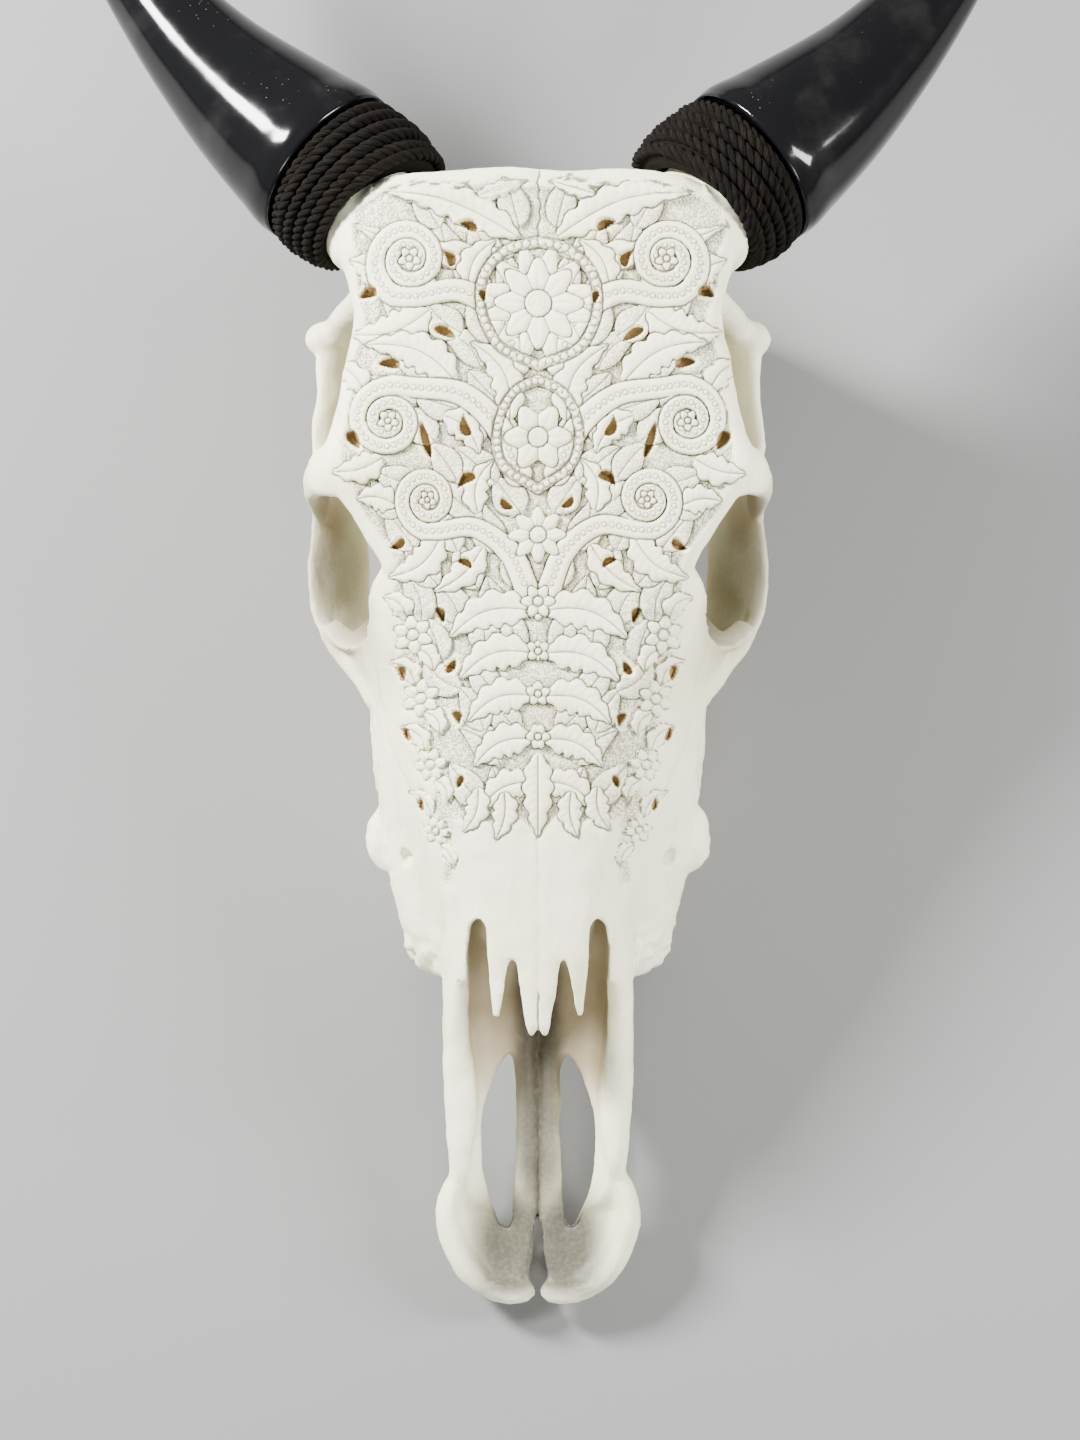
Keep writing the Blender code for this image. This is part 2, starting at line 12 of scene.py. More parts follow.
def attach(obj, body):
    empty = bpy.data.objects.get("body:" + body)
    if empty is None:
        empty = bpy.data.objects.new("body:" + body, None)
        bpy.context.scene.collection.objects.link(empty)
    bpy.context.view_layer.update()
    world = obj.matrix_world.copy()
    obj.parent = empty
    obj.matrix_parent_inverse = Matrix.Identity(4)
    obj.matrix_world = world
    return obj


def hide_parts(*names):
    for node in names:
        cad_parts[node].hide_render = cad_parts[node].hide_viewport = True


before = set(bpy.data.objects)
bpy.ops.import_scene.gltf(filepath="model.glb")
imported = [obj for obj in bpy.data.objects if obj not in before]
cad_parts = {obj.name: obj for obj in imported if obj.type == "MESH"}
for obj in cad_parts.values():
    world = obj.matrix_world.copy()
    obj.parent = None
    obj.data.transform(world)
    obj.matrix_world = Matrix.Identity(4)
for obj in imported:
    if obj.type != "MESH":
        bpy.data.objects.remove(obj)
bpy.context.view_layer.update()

MM = 0.001
SIDES = {"left": -1, "right": 1}

# How the skull lies.
REST_TILT = math.radians(13.0)
GRIND_LINE_Y = -597.0
OUTLINE_MIDDLE_Y = 115.0
FLOOR_PLACE = Matrix.Translation((0, -OUTLINE_MIDDLE_Y * MM, 0))
RESTING = (Matrix.Translation((0, -OUTLINE_MIDDLE_Y * MM, -GRIND_LINE_Y * math.sin(REST_TILT) * MM))
           @ Matrix.Rotation(REST_TILT, 4, "X"))

# Fineness of the bone: the first and the last clay grid, the cuts in each edge that is carved, and the
# triangles kept.
ROUGH_GRID = 1.4
FINE_GRID = 1.0
CARVED_CUTS = 2
BONE_TRIANGLES = 192000

# The photograph: millimetres to a pixel at the forehead, the pixel of its middle line, the camera's distance.
PHOTO_SIZE = (1080, 1440)
PHOTO_SCALE = 0.42
PHOTO_MIDDLE_X = 538
CAMERA_DISTANCE = 1500.0
SENSOR = 36.0

# The studio: each softbox's place, what it aims at, its size and its power.
LIGHTS = {"key": ((-1000, 750, 640), (0, 60, -40), (260, 420), 104),
          "fill": ((1000, 260, 560), (0, 60, -40), (200, 640), 30),
          "nose": ((100, -1000, 1000), (0, -80, -60), (600, 400), 15)}
SKY_COLOUR = (0.86, 0.88, 0.90)
SKY_STRENGTH = 0.38
FLOOR_HALF = 6.0

# Colours, as linear red, green and blue.
BONE_PALE = (0.935, 0.925, 0.670)
BONE_CREAM = (0.87, 0.845, 0.555)
BONE_GRAIN = (0.74, 0.69, 0.57)
BONE_SPECK = (0.58, 0.54, 0.45)
# Tan of unbleached bone, laid with painted shade in the hollows.
BONE_UNBLEACHED_SHADE = (0.34, 0.255, 0.140)
# Painted shade over the sunk stippled ground, deeper at its pricks.
GROUND_SHADE = (0.33, 0.29, 0.20)
# Near black: soiling, and painted shade in the muzzle's hollows and the orbits.
DARK_SOIL_AND_SHADE = (0.030, 0.024, 0.014)
# Painted shade in the carved cut lines.
CUT_SHADE = (0.105, 0.083, 0.050)
HOLE_SHADE = (0.27, 0.165, 0.060)
HORN_BLACK = (0.0035, 0.0035, 0.004)
HORN_STREAK = (0.011, 0.010, 0.010)
HORN_CHIP = (0.30, 0.29, 0.27)
CORD_DARK = (0.0014, 0.0010, 0.0007)
CORD_FIBRE = (0.0230, 0.0160, 0.0110)
CORD_TUFT = (0.036, 0.026, 0.018)
TOOTH_IVORY = (0.74, 0.66, 0.49)
TOOTH_TAN = (0.52, 0.41, 0.25)
TOOTH_STREAK = (0.30, 0.20, 0.11)
TOOTH_ROOT = (0.42, 0.30, 0.17)
TOOTH_PIT = (0.10, 0.060, 0.035)
FLOOR_GREY = (0.20, 0.20, 0.198)

# Seams between the bones: the side they are drawn from, their path there, sway, half width, depth and
# darkness. A top, floor or under path is x and y, and serves both halves unless it starts on the middle
# line. A side path is y and z.
SEAMS = (
    ("top", ((0, 231), (0.6, 216), (0, 202)), 0.5, 0.8, 0.5, 0.9),
    ("top", ((0, -50), (0.3, -90), (0, -131)), 0.12, 0.7, 0.4, 0.22),
    ("top", ((0, -116), (0, -133)), 0.1, 0.7, 0.5, 0.8),
    ("top", ((31, -50), (29.5, -64), (27, -80)), 0.3, 0.9, 0.4, 0.15),
    ("floor", ((0, -124), (0.2, -180), (0, -232)), 0.35, 0.9, 0.9, 1.0),
    ("side", ((-84, -40), (-104, -52), (-126, -60), (-150, -64)), 0.4, 0.9, 0.35, 0.35),
    ("side", ((4, -66), (-8, -58), (-22, -60), (-34, -72), (-44, -80)), 0.7, 0.9, 0.35, 0.4),
    ("side", ((40, -34), (22, -36), (6, -44), (-14, -42), (-30, -34)), 0.6, 0.9, 0.3, 0.35),
    ("side", ((112, -82), (124, -92), (136, -98)), 0.4, 0.8, 0.4, 0.5),
    ("side", ((120, -40), (140, -52), (162, -48), (178, -56)), 0.9, 0.9, 0.3, 0.4),
    ("under", ((0, -128), (0.4, -60), (0, 26)), 0.4, 0.9, 0.4, 0.5),
    ("under", ((3, -6), (18, -2), (34, -9), (44, -4)), 0.7, 0.9, 0.4, 0.5),
)

# Horns. A pair of numbers in a table is the distance from the horn's mouth and the value there.
HORN_MOUTH = (90.0, 238.0, -43.0)
HORN_LENGTH = 270.0
HORN_SPLAY = {"left": (0.0, 5.1), "right": (2.5, 2.5)}
HORN_TURN = ((0, 49.0), (30, 47.0), (60, 42.5), (85, 38.0), (110, 34.0), (150, 26.0), (200, 15.0),
             (270, 2.0))
HORN_RISE = ((0, -17.0), (100, -12.0), (200, 0.0), (270, 9.0))
HORN_RADIUS = ((0, 37.0), (4, 37.8), (20, 36.0), (57, 29.8), (83, 25.2), (105, 22.0), (150, 16.4),
               (200, 10.6), (240, 6.2), (262, 3.6), (270, 1.6))
HORN_KNOT_STEP = 18.0
HORN_STEP = 2.5
HORN_AROUND = 72
HORN_RIM = 1.4
HORN_RIM_ANGLES = (0, 22, 45, 68, 90)
HORN_INSET = 0.4
HORN_SWELL = 0.15
HORN_SWELL_WAVE = 6.5
HORN_SWELL_FADE = 60.0
CORE_START = 46.0
CORE_RADIUS = 21.0
CORE_LENGTH = 72.0
CORE_TAPER = 0.45
CORE_AROUND = 48
SOCKET_RADIUS = 23.0
SOCKET_DEPTH = 90.0
SOCKET_TAPER = 0.42
SOCKET_FLARE = 8.0

# Cord bindings: the drum's outside by the distance behind the mouth, the cord's own thickness, how its turns
# spread and wander, and the lay of its three strands.
ROPE_DRUM = ((0, 36.4), (6, 38.2), (13, 38.4), (20, 37.2), (26, 34.8))
ROPE_BORE = 22.8
ROPE_GAP = 0.6
CORD_TURNS = 6.4
CORD_FLAT_TURN = 0.9
CORD_THICK = 5.4
CORD_END = 25.6
CORD_LEAN = 0.36
CORD_STEPS = 60
CORD_RISE = 0.35
CORD_DRIFT = 0.30
FILLING_DEPTH = 3.7
FILLING_RINGS = 14
STRAND_RADIUS = 1.32
STRAND_PITCH = 14.0
STRAND_STEP = 1.1
STRAND_AROUND = 9
LAY_RADIUS = STRAND_RADIUS * 1.08
STRANDS = 3
FIBRE_TWIST = -0.45
SHOULDER = 27.3
SEAT_OVERRUN = 3.0
SEAT_RADIUS = 48.0
# The bone that is rounded off beside a binding: how far behind the mouth, how far from the horn's axis.
SOFT_BACK = (SHOULDER - 6.0, SHOULDER + 12.0)
SOFT_OUT = (CORE_RADIUS + 9.0, 64.0)
SOFT_ROUNDS = 9

# Cheek teeth, from the front to the rear: length along the row, width, both at the grinding face.
TOOTH_SIZES = ((14, 12), (17, 15), (18, 18), (24, 21), (27, 22), (28, 21))
TOOTH_ROW_FRONT = (46.0, -101.0)
TOOTH_ROW_REAR = (57.0, 30.0)
TOOTH_HEIGHT = 29.0
TOOTH_GAP = 0.7
TOOTH_NARROWER = 0.4
TOOTH_AROUND = 56
TOOTH_ROUNDNESS = 3.2
TOOTH_FOLD = 0.07
ONE_LOBED_TEETH = 3
# A tooth's side from the root down: height over the floor and share of the full outline.
TOOTH_SIDE = ((TOOTH_HEIGHT, 0.86), (24, 0.89), (20, 0.95), (14, 0.99), (8, 1.0), (3.5, 0.985), (1.4, 0.955),
              (0.4, 0.92))
# The rings over its grinding face, as shares of that outline.
TOOTH_FACE = np.linspace(0.9, 0.04, 22)
DENTINE_HEIGHT = 0.35
PIT_HEIGHT = 0.935
ENAMEL_DROP = 0.33
LEAST_HEIGHT = 0.02
SOCKET_CLEARANCE = 0.5

# The relief: its grid, and how high, deep and wide its forms and lines are.
RELIEF_PITCH = 0.25
RELIEF_RIGHT = 112.0
RELIEF_LOW = -140.0
RELIEF_HIGH = 236.0
GROUND_HEIGHT = -1.45
LINE_DEPTH = 0.95
LINE_HALF_WIDTH = 0.65
VINE_CROWN = 0.75
LEAF_CROWN = 0.72
RIB_LEVEL = 0.45
LOBE_DEPTH = 0.24
LOBES_END = 0.93
BOSS_HEIGHT = 0.7
BOSS_SHARE = 0.3
BEAD_PITCH = 3.2
BEAD_RADIUS = 1.15
BEAD_RING = 0.45
BEAD_HEIGHT = 0.45
# Depth and half width of the finer cuts.
RIB_CUT = (0.6, 0.65)
VEIN_CUT = (0.22, 0.4)
PETAL_CUT = (0.6, 0.55)
PETAL_RIB_CUT = (0.25, 0.4)
BOSS_CUT = (0.35, 0.4)
UNCUT = 9.0
# Pierced holes.
HOLE_DEPTH = 5.0
HOLE_GROWTH = 1.22
HOLE_WALL = 0.85
HOLE_BOW = 0.30
HOLE_SKEW = 0.55
LIP_HEIGHT = 0.25
# Where the worked ground starts and ends: over the nose in scallops, down the cheeks, by the plate's rim and
# before the poll.
SCALLOP_DEPTH = 4.5
SCALLOP_WIDTH = 17.0
SCALLOP_SLANT = 0.12
NOSE_EDGE = (-43, -39)
CHEEK_EDGE = (-72, -66)
CHEEK_INSIDE = (33, 37)
RIM_MARGIN = (-2, -5)
POLL_EDGE = (227, 223)
# Half the width of the frontal plate, by its place along the skull.
PLATE_RIM = ((-60, 42), (-38, 46), (-12, 52), (12, 58), (46, 60), (62, 62), (78, 70), (92, 80), (105, 88),
             (125, 84), (150, 79), (172, 75), (186, 78), (202, 83), (214, 80), (230, 60))
# The long opening over each orbit, which a skull has by nature: middle, length, width, turn in degrees.
SUPRAORBITAL_GROOVE = (47, 118, 13, 3.6, 72)
# Pierced holes, in the same form.
PIERCINGS = ((29, 208, 8, 3.6, 20), (38, 194, 7, 4.0, 60), (71, 180, 7, 4.2, -20), (24, 178, 5, 3.0, 80),
             (40, 162, 9, 4.0, 30), (62, 150, 8, 4.2, 10), (30, 124, 8, 4.0, 70), (29, 101, 8, 4.2, -35),
             (78, 118, 8, 4.6, 60), (12, 92, 6, 3.4, 40), (30, 66, 6, 3.4, 30), (60, 74, 7, 3.6, -30),
             (42, 44, 6, 3.4, 70), (38, 22, 6, 3.4, -60), (36, 0, 5.5, 3.2, 70), (33, -26, 5, 3.0, -70),
             (58, 20, 6, 3.4, 80), (56, -6, 5.5, 3.2, 70), (50, -36, 5, 3.0, 80))

# Rounded zones of the bone: middle, reach along X, Y and Z, and how flat-topped the zone is. An axis with no
# end to its reach takes no part.
ENDLESS = math.inf
VALLEY_HOLLOW = ((0, 0, 0), (3.1, ENDLESS, ENDLESS), 1.0)
DISH_HOLLOW = ((16, -230, 0), (11, 17, ENDLESS), 1.4)
# Zones of grey darkening: soiling with painted shade on the muzzle, painted shade alone in the orbit.
DISH_SOIL_AND_SHADE = ((11, -231, 0), (14, 23, ENDLESS), 1.2)
ROD_SOIL_AND_SHADE = ((0, 0, 0), (9.5, ENDLESS, ENDLESS), 2.0)
VALLEY_SOIL_AND_SHADE = ((0, 0, 0), (2.4, ENDLESS, ENDLESS), 1.0)
ORBIT_PAINTED_SHADE = ((68, 72, -58), (32, 38, 32), 1.6)
TOOTH_ZONE = ((0, -55, 0), (ENDLESS, 45, ENDLESS), 1.0)
CHEEK_CORNER = ((0, -102, 0), (ENDLESS, 12, ENDLESS), 1.0)
# The swells of the poll's edge, which aren't alike on both halves: height and zone.
POLL_SWELLS = ((2.2, ((-14, 0, 0), (20, ENDLESS, ENDLESS), 1.0)),
               (1.5, ((36, 0, 0), (14, ENDLESS, ENDLESS), 1.0)))
POLL_SINK = 1.4
# Where the bone is unbleached and takes painted shade, in its hollows: middle and reach.
UNBLEACHED_AND_SHADED = (((0, -116, -60), (24, 44, 22)), ((0, -40, -60), (34, 60, 30)), ((0, 160, -100), (40, 60, 46)),
              ((62, 72, -52), (38, 42, 34)), ((86, 92, -62), (12, 24, 24)), ((62, 140, -60), (26, 34, 30)))
# Height of the muzzle's rails, by their place along the skull.
RAIL_TOP = ((-172, -49), (-145, -45), (-122, -40), (-104, -35), (-88, -30))
# How much of the bone's own colour the darkest soiling and painted shade leave.
CLEAN_LEFT = 0.06


def curve_through(knots, values):
    """A smooth function through the values at the knots."""
    knots = np.array(knots, float)
    values = np.array(values, float)
    slopes = np.gradient(values, knots, axis=0)

    def at(place):
        place = min(max(place, knots[0]), knots[-1])
        i = int(min(max(np.searchsorted(knots, place) - 1, 0), len(knots) - 2))
        span = knots[i + 1] - knots[i]
        u = (place - knots[i]) / span
        return ((2 * u**3 - 3 * u**2 + 1) * values[i] + (u**3 - 2 * u**2 + u) * span * slopes[i]
                + (3 * u**2 - 2 * u**3) * values[i + 1] + (u**3 - u**2) * span * slopes[i + 1])

    return at


def curve_of(pairs):
    return curve_through([p[0] for p in pairs], [p[1] for p in pairs])


def soft_step(low, high, value):
    share = np.clip((value - low) / (high - low), 0, 1)
    return share * share * (3 - 2 * share)


def circle(steps):
    return [2 * math.pi * i / steps for i in range(steps)]


def about(way):
    """The two directions square to a way: across, and up from it."""
    across = way.cross(Vector((0, 0, 1))).normalized()
    return across, across.cross(way)


def closed_ring(corners, steps):
    """Points on the smooth closed line through the corners."""
    ring = []
    count = len(corners)
    for i in range(count):
        a, b, c, d = (np.array(corners[(i + k) % count], float) for k in (-1, 0, 1, 2))
        for k in range(steps):
            u = k / steps
            ring.append(b + 0.5 * u * (c - a + u * (2 * a - 5 * b + 4 * c - d + u * (3 * (b - c) + d - a))))
    return ring


def add_rings(bm, rings, endless=False):
    """Skin between rings of points: closed at both ends, or endless, like a tyre."""
    rows = [[bm.verts.new(p) for p in ring] for ring in rings]
    count = len(rows[0])
    for near, far in zip(rows, rows[1:] + (rows[:1] if endless else [])):
        for i in range(count):
            j = (i + 1) % count
            bm.faces.new((near[i], near[j], far[j], far[i]))
    if not endless:
        bm.faces.new(rows[0][::-1])
        bm.faces.new(rows[-1])


def add_loft(bm, stations, step=4.0, ring_steps=5):
    """A form along Y, from half outlines (x, z) that run from its top middle to its bottom middle."""
    stations = sorted(stations)
    shape = curve_through([s[0] for s in stations], [s[1] for s in stations])
    first, last = stations[0][0], stations[-1][0]
    count = max(2, round((last - first) / step))
    rings = []
    for k in range(count + 1):
        y = first + (last - first) * k / count
        half = shape(y)
        corners = [tuple(p) for p in half] + [(-x, z) for x, z in half[-2:0:-1]]
        rings.append([(x, y, z) for x, z in closed_ring(corners, ring_steps)])
    add_rings(bm, rings)


def add_limb(bm, joints, side=1, step=5.0, around=16, face=(0, 0, 1)):
    """A bar of oval section through joints (point, half width, half height); face is its height's way."""
    points = [np.array(j[0], float) * (side, 1, 1) for j in joints]
    reach = np.concatenate([[0], np.cumsum([np.linalg.norm(b - a) for a, b in zip(points, points[1:])])])
    path = curve_through(reach, points)
    sizes = curve_through(reach, [j[1:] for j in joints])
    count = max(2, round(reach[-1] / step))
    rings = []
    for k in range(count + 1):
        s = reach[-1] * k / count
        along = Vector(path(min(s + 0.5, reach[-1])) - path(max(s - 0.5, 0)))
        across = along.cross(Vector(face) * Vector((side, 1, 1))).normalized()
        rise = across.cross(along).normalized()
        wide, high = np.maximum(sizes(s), 0.5)
        middle = Vector(path(s))
        across, rise = across * wide, rise * high
        rings.append([middle + across * math.cos(t) + rise * math.sin(t) for t in circle(around)])
    add_rings(bm, rings)


def add_ball(bm, centre, radii, side=1):
    place = Matrix.Translation((centre[0] * side, centre[1], centre[2])) @ Matrix.Diagonal((*radii, 1))
    bmesh.ops.create_uvsphere(bm, u_segments=20, v_segments=12, radius=1.0, matrix=place)


def add_plan(bm, outline, low, high, side=1, smooth=True):
    """A block with a flat outline (x, y) seen from above, from one height to another."""
    flat = closed_ring(outline, 4) if smooth else outline
    add_rings(bm, [[(x * side, y, z) for x, y in flat] for z in (low, high)])


# The bone's forms


# Half outlines of the brain case with the broad frontal plate on it: top middle, plate, plate edge,
# under the edge, side of the case, floor.
CRANIUM = (
    (232, ((0, 0), (30, -1), (52, -3), (62, -9), (54, -16), (40, -20), (26, -22), (12, -24), (0, -24))),
    (226, ((0, 1), (36, 1), (62, -2), (72, -12), (64, -26), (54, -36), (40, -44), (20, -48), (0, -48))),
    (214, ((0, 0), (45, 0), (74, -4), (83, -18), (74, -36), (66, -58), (56, -80), (28, -92), (0, -92))),
    (202, ((0, 0), (48, 0), (78, -5), (86, -18), (76, -34), (69, -66), (67, -104), (40, -130), (0, -134))),
    (186, ((0, 0), (46, 0), (74, -5), (81, -15), (73, -27), (70, -66), (76, -104), (44, -134), (0, -140))),
    (172, ((0, 0), (44, 0), (71, -4), (78, -14), (70, -32), (60, -66), (74, -98), (40, -128), (0, -138))),
    (150, ((0, 0), (46, 0), (74, -4), (82, -14), (72, -30), (48, -60), (48, -94), (30, -122), (0, -134))),
    (125, ((0, -1), (48, -1), (78, -5), (87, -14), (75, -28), (45, -54), (42, -88), (24, -116), (0, -128))),
    (105, ((0, -2), (50, -2), (84, -5), (93, -13), (79, -24), (42, -48), (36, -82), (20, -108), (0, -122))),
    (92, ((0, -2), (48, -2), (74, -5), (83, -12), (68, -20), (38, -44), (32, -78), (18, -104), (0, -116))),
    (78, ((0, -2), (44, -2), (66, -5), (74, -12), (62, -20), (38, -44), (30, -76), (18, -100), (0, -110))),
    (62, ((0, -2), (40, -2), (58, -5), (65, -12), (58, -22), (42, -44), (34, -74), (22, -98), (0, -106))),
    (46, ((0, -2), (38, -3), (56, -7), (62, -14), (58, -26), (46, -46), (38, -72), (24, -96), (0, -102))),
)
# Half outlines of the face: nasal bridge, its edge, the side under it, the facial crest, the gum, the
# tooth ridge, the palate.
FACE = (
    (64, ((0, -9), (34, -10), (54, -14), (62, -24), (56, -42), (42, -72), (32, -98), (0, -98))),
    (56, ((0, -5), (38, -6), (62, -12), (71, -23), (66, -46), (50, -80), (38, -104), (0, -99))),
    (44, ((0, -2), (38, -4), (60, -12), (71, -24), (77, -50), (64, -92), (50, -117), (0, -100))),
    (28, ((0, -2), (35, -4), (56, -13), (69, -30), (82, -60), (69, -100), (58, -127), (0, -104))),
    (12, ((0, -2), (32, -4), (51, -14), (65, -36), (75, -64), (70, -101), (60, -124), (0, -100))),
    (-12, ((0, -3), (30, -5), (47, -16), (62, -40), (73, -67), (68, -98), (59, -118), (0, -95))),
    (-38, ((0, -5), (27, -7), (43, -19), (58, -44), (70, -70), (64, -93), (56, -112), (0, -91))),
    (-58, ((0, -8), (25, -10), (39, -23), (52, -46), (67, -70), (62, -88), (54, -107), (0, -88))),
    (-78, ((0, -11), (23, -13), (36, -28), (47, -48), (62, -68), (61, -84), (52, -102), (0, -85))),
    (-96, ((0, -14), (22, -16), (35, -33), (43, -50), (55, -67), (59, -81), (50, -98), (0, -83))),
    (-107, ((0, -15), (21, -18), (35, -36), (41, -50), (48, -66), (55, -80), (46, -95), (0, -82))),
    (-113, ((0, -17), (20, -20), (34, -38), (39, -50), (42, -66), (47, -79), (40, -92), (0, -82))),
)
# Half outlines of the two nasal bones, a thin arched roof.
NASALS = (
    (-50, ((0, -6), (14, -7), (25, -9), (29, -14), (24, -16), (12, -13), (0, -12))),
    (-84, ((0, -11), (13, -12), (22, -14), (25, -18), (21, -20), (12, -18), (0, -17))),
    (-110, ((0, -15), (12, -16), (20, -19), (22, -22), (19, -24), (11, -22), (0, -21))),
    (-140, ((0, -20), (11, -21), (18, -24), (20, -26), (17, -29), (10, -28), (0, -27))),
)
# Half outlines of the muzzle: both side rails and the floor of the nose between them.
MUZZLE = (
    (-88, ((0, -36), (24, -33), (34, -30), (40, -42), (41, -62), (38, -80), (26, -88), (0, -82))),
    (-104, ((0, -40), (26, -37), (35, -35), (41, -46), (41, -63), (37, -79), (25, -86), (0, -81))),
    (-122, ((0, -42), (26, -42), (36, -40), (41, -48), (41, -61), (36, -76), (24, -83), (0, -79))),
    (-145, ((0, -46), (26, -46), (36, -45), (41, -51), (41, -60), (35, -72), (24, -78), (0, -76))),
    (-172, ((0, -50), (26, -50), (35, -49), (40, -54), (40, -61), (34, -70), (24, -74), (0, -73))),
    (-198, ((0, -54), (26, -54), (34, -53), (38, -56), (38.4, -62), (35, -69), (24, -72), (0, -72))),
    (-207, ((0, -59), (26, -59), (34, -58), (38.4, -60), (39.5, -64), (36, -70), (24, -72), (0, -72))),
    (-218, ((0, -66), (26, -66), (34, -66), (38, -66), (39, -68), (36, -70), (24, -72), (0, -72))),
)


def add_premaxilla_tip(bm, side):
    """One paddle end of the upper jaw: a flat lobe with a thick rounded rim."""
    lobe = ((1.5, -198), (34, -199), (40, -208), (43.5, -217), (41.5, -231), (34, -244), (23, -252),
            (12, -256), (6, -255), (3.6, -250), (3.4, -240), (2.4, -230), (1.5, -220))
    add_plan(bm, lobe, -71, -64, side)
    rim = (((33.5, -186, -62), 3.5, 4), ((34.2, -199, -61), 4.4, 6), ((38.4, -209, -61.5), 5.5, 7),
           ((39.4, -218, -62), 5.5, 7.5), ((36, -231, -62.5), 5.6, 7), ((28.5, -243, -63), 5.6, 6.6),
           ((18, -250, -63.5), 5.6, 6), ((9, -251.8, -64), 4.8, 5.5), ((5, -251.2, -64.5), 4.2, 5),
           ((2.6, -250.2, -64.6), 3.4, 4.2), ((0.9, -249.6, -65), 2.6, 3.2))
    midline_rod = (((6.2, -118, -74), 5, 6), ((6.2, -150, -68), 4.4, 6), ((6, -185, -64), 4.6, 6),
                   ((6, -212, -64), 5, 5), ((7, -234, -68), 4.5, 4))
    add_limb(bm, rim, side)
    add_limb(bm, midline_rod, side)


def add_cheek(bm, side):
    """The cheek bone and arch: the orbit's lower rim, the bar behind the orbit and the arch to the ear."""
    arch = (((60, 4, -64), 9, 14), ((69, 18, -67), 7, 16), ((80, 32, -73), 5, 17),
            ((87, 47, -78), 3.8, 18), ((88, 64, -81), 3.4, 19), ((88, 84, -83), 3.4, 17),
            ((89, 104, -86), 3.6, 14), ((92, 124, -90), 3.8, 12), ((91, 146, -93), 4, 10),
            ((92, 162, -95), 5, 9), ((88, 172, -97), 7, 9), ((72, 176, -98), 9, 11),
            ((52, 176, -100), 10, 14))
    orbit_bar = (((76, 107, -9), 14, 6), ((90, 106, -16), 11, 5.5), ((96, 103, -34), 8, 4.2),
                 ((98, 101, -54), 8, 4.2), ((96, 99, -74), 12, 4.6))
    front_rim = (((60, 68, -14), 4, 5), ((67, 56, -20), 4, 5), ((72, 43, -34), 4.5, 5.5),
                 ((80, 34, -50), 5, 6), ((90, 40, -64), 5, 6))
    temple_ridge = (((70, 184, -24), 10, 8), ((74, 182, -52), 8, 9), ((82, 178, -76), 7, 9),
                    ((90, 173, -94), 7, 7))
    arch_knob = ((96, 170, -92), (8, 8, 6))
    cheek_bump = ((67, -52, -76), (9, 15, 8))
    add_limb(bm, arch, side, face=(0.7, 0, 0.72))
    add_limb(bm, orbit_bar, side, face=(1, 0, 0.3))
    add_limb(bm, front_rim, side)
    add_limb(bm, temple_ridge, side, face=(1, 0, 0.2))
    add_ball(bm, *arch_knob, side)
    add_ball(bm, *cheek_bump, side)


def add_skull_base(bm, side):
    """The underside of the brain case: condyles, rear processes, ear bullae and pterygoid plates."""
    rear_process = (((58, 194, -110), 10, 14), ((62, 190, -140), 8, 12), ((60, 184, -163), 6, 9),
                    ((57, 180, -178.6), 5, 6.5))
    pterygoid_plate = (((44, 28, -104), 5, 14), ((33, 48, -104), 4, 16), ((27, 70, -110), 3.5, 17),
                       ((24, 96, -118), 3.5, 12))
    condyle = ((27, 204, -128), (17, 17, 24))
    bulla = ((39, 164, -128), (12, 15, 17))
    add_ball(bm, *condyle, side)
    add_limb(bm, rear_process, side, face=(0, 1, 0))
    add_ball(bm, *bulla, side)
    add_limb(bm, pterygoid_plate, side)


def add_bone(bm):
    for stations in (CRANIUM, FACE, MUZZLE, NASALS):
        add_loft(bm, stations)
    base_bar = (((0, 200, -136), 20, 9), ((0, 160, -134), 15, 9), ((0, 110, -122), 10, 10))
    horn_corner = ((64, 210, -28), (29, 25, 25))
    add_limb(bm, base_bar)
    for name, side in SIDES.items():
        add_premaxilla_tip(bm, side)
        add_cheek(bm, side)
        add_skull_base(bm, side)
        add_ball(bm, *horn_corner, side)
        add_rings(bm, horn_core(name))


# Half outline of the air space in the nose, and of the palate's way out behind the teeth.
AIRWAY = (
    (40, ((0, -60), (8, -60), (14, -66), (16, -80), (14, -94), (8, -100), (0, -100))),
    (10, ((0, -40), (14, -42), (22, -56), (24, -72), (20, -86), (10, -92), (0, -92))),
    (-30, ((0, -18), (14, -20), (26, -36), (30, -58), (26, -78), (14, -86), (0, -86))),
    (-70, ((0, -18), (14, -20), (27, -36), (31, -56), (26, -74), (14, -80), (0, -80))),
    (-100, ((0, -21), (14, -23), (28, -36), (31, -54), (26, -70), (14, -75), (0, -75))),
    (-132, ((0, -27), (14, -28), (28, -36), (30, -52), (26, -66), (14, -70), (0, -70))),
    (-165, ((0, -20), (14, -20), (29, -34), (27, -52), (23, -63), (14, -66), (0, -66))),
    (-205, ((0, -10), (14, -10), (29, -24), (31, -52), (26, -62), (14, -64), (0, -64))),
    (-246, ((0, -10), (10, -10), (20, -24), (24, -52), (20, -62), (12, -64), (0, -64))),
)
# The open front of the nose seen from above: the notch beside the nasal bones, their two points on each
# side, and the rails.
NOSE_OPENING = ((24.6, -83.5), (21.8, -88), (21.2, -104), (19.8, -119), (18.9, -135), (17.3, -135),
                (15.2, -118), (14.2, -110), (12, -101.5), (9.6, -101.5), (8.2, -110), (6.4, -122),
                (4.0, -136), (2.6, -137), (0.9, -131), (0, -131), (0, -170), (25, -170), (29.5, -132),
                (30.5, -100), (29, -87))
FISSURE = ((12.8, -146), (19, -156), (24.5, -172), (25, -190), (22.5, -207), (17, -220), (12.8, -222),
           (11, -212), (9.8, -192), (9.6, -168), (10.4, -152))
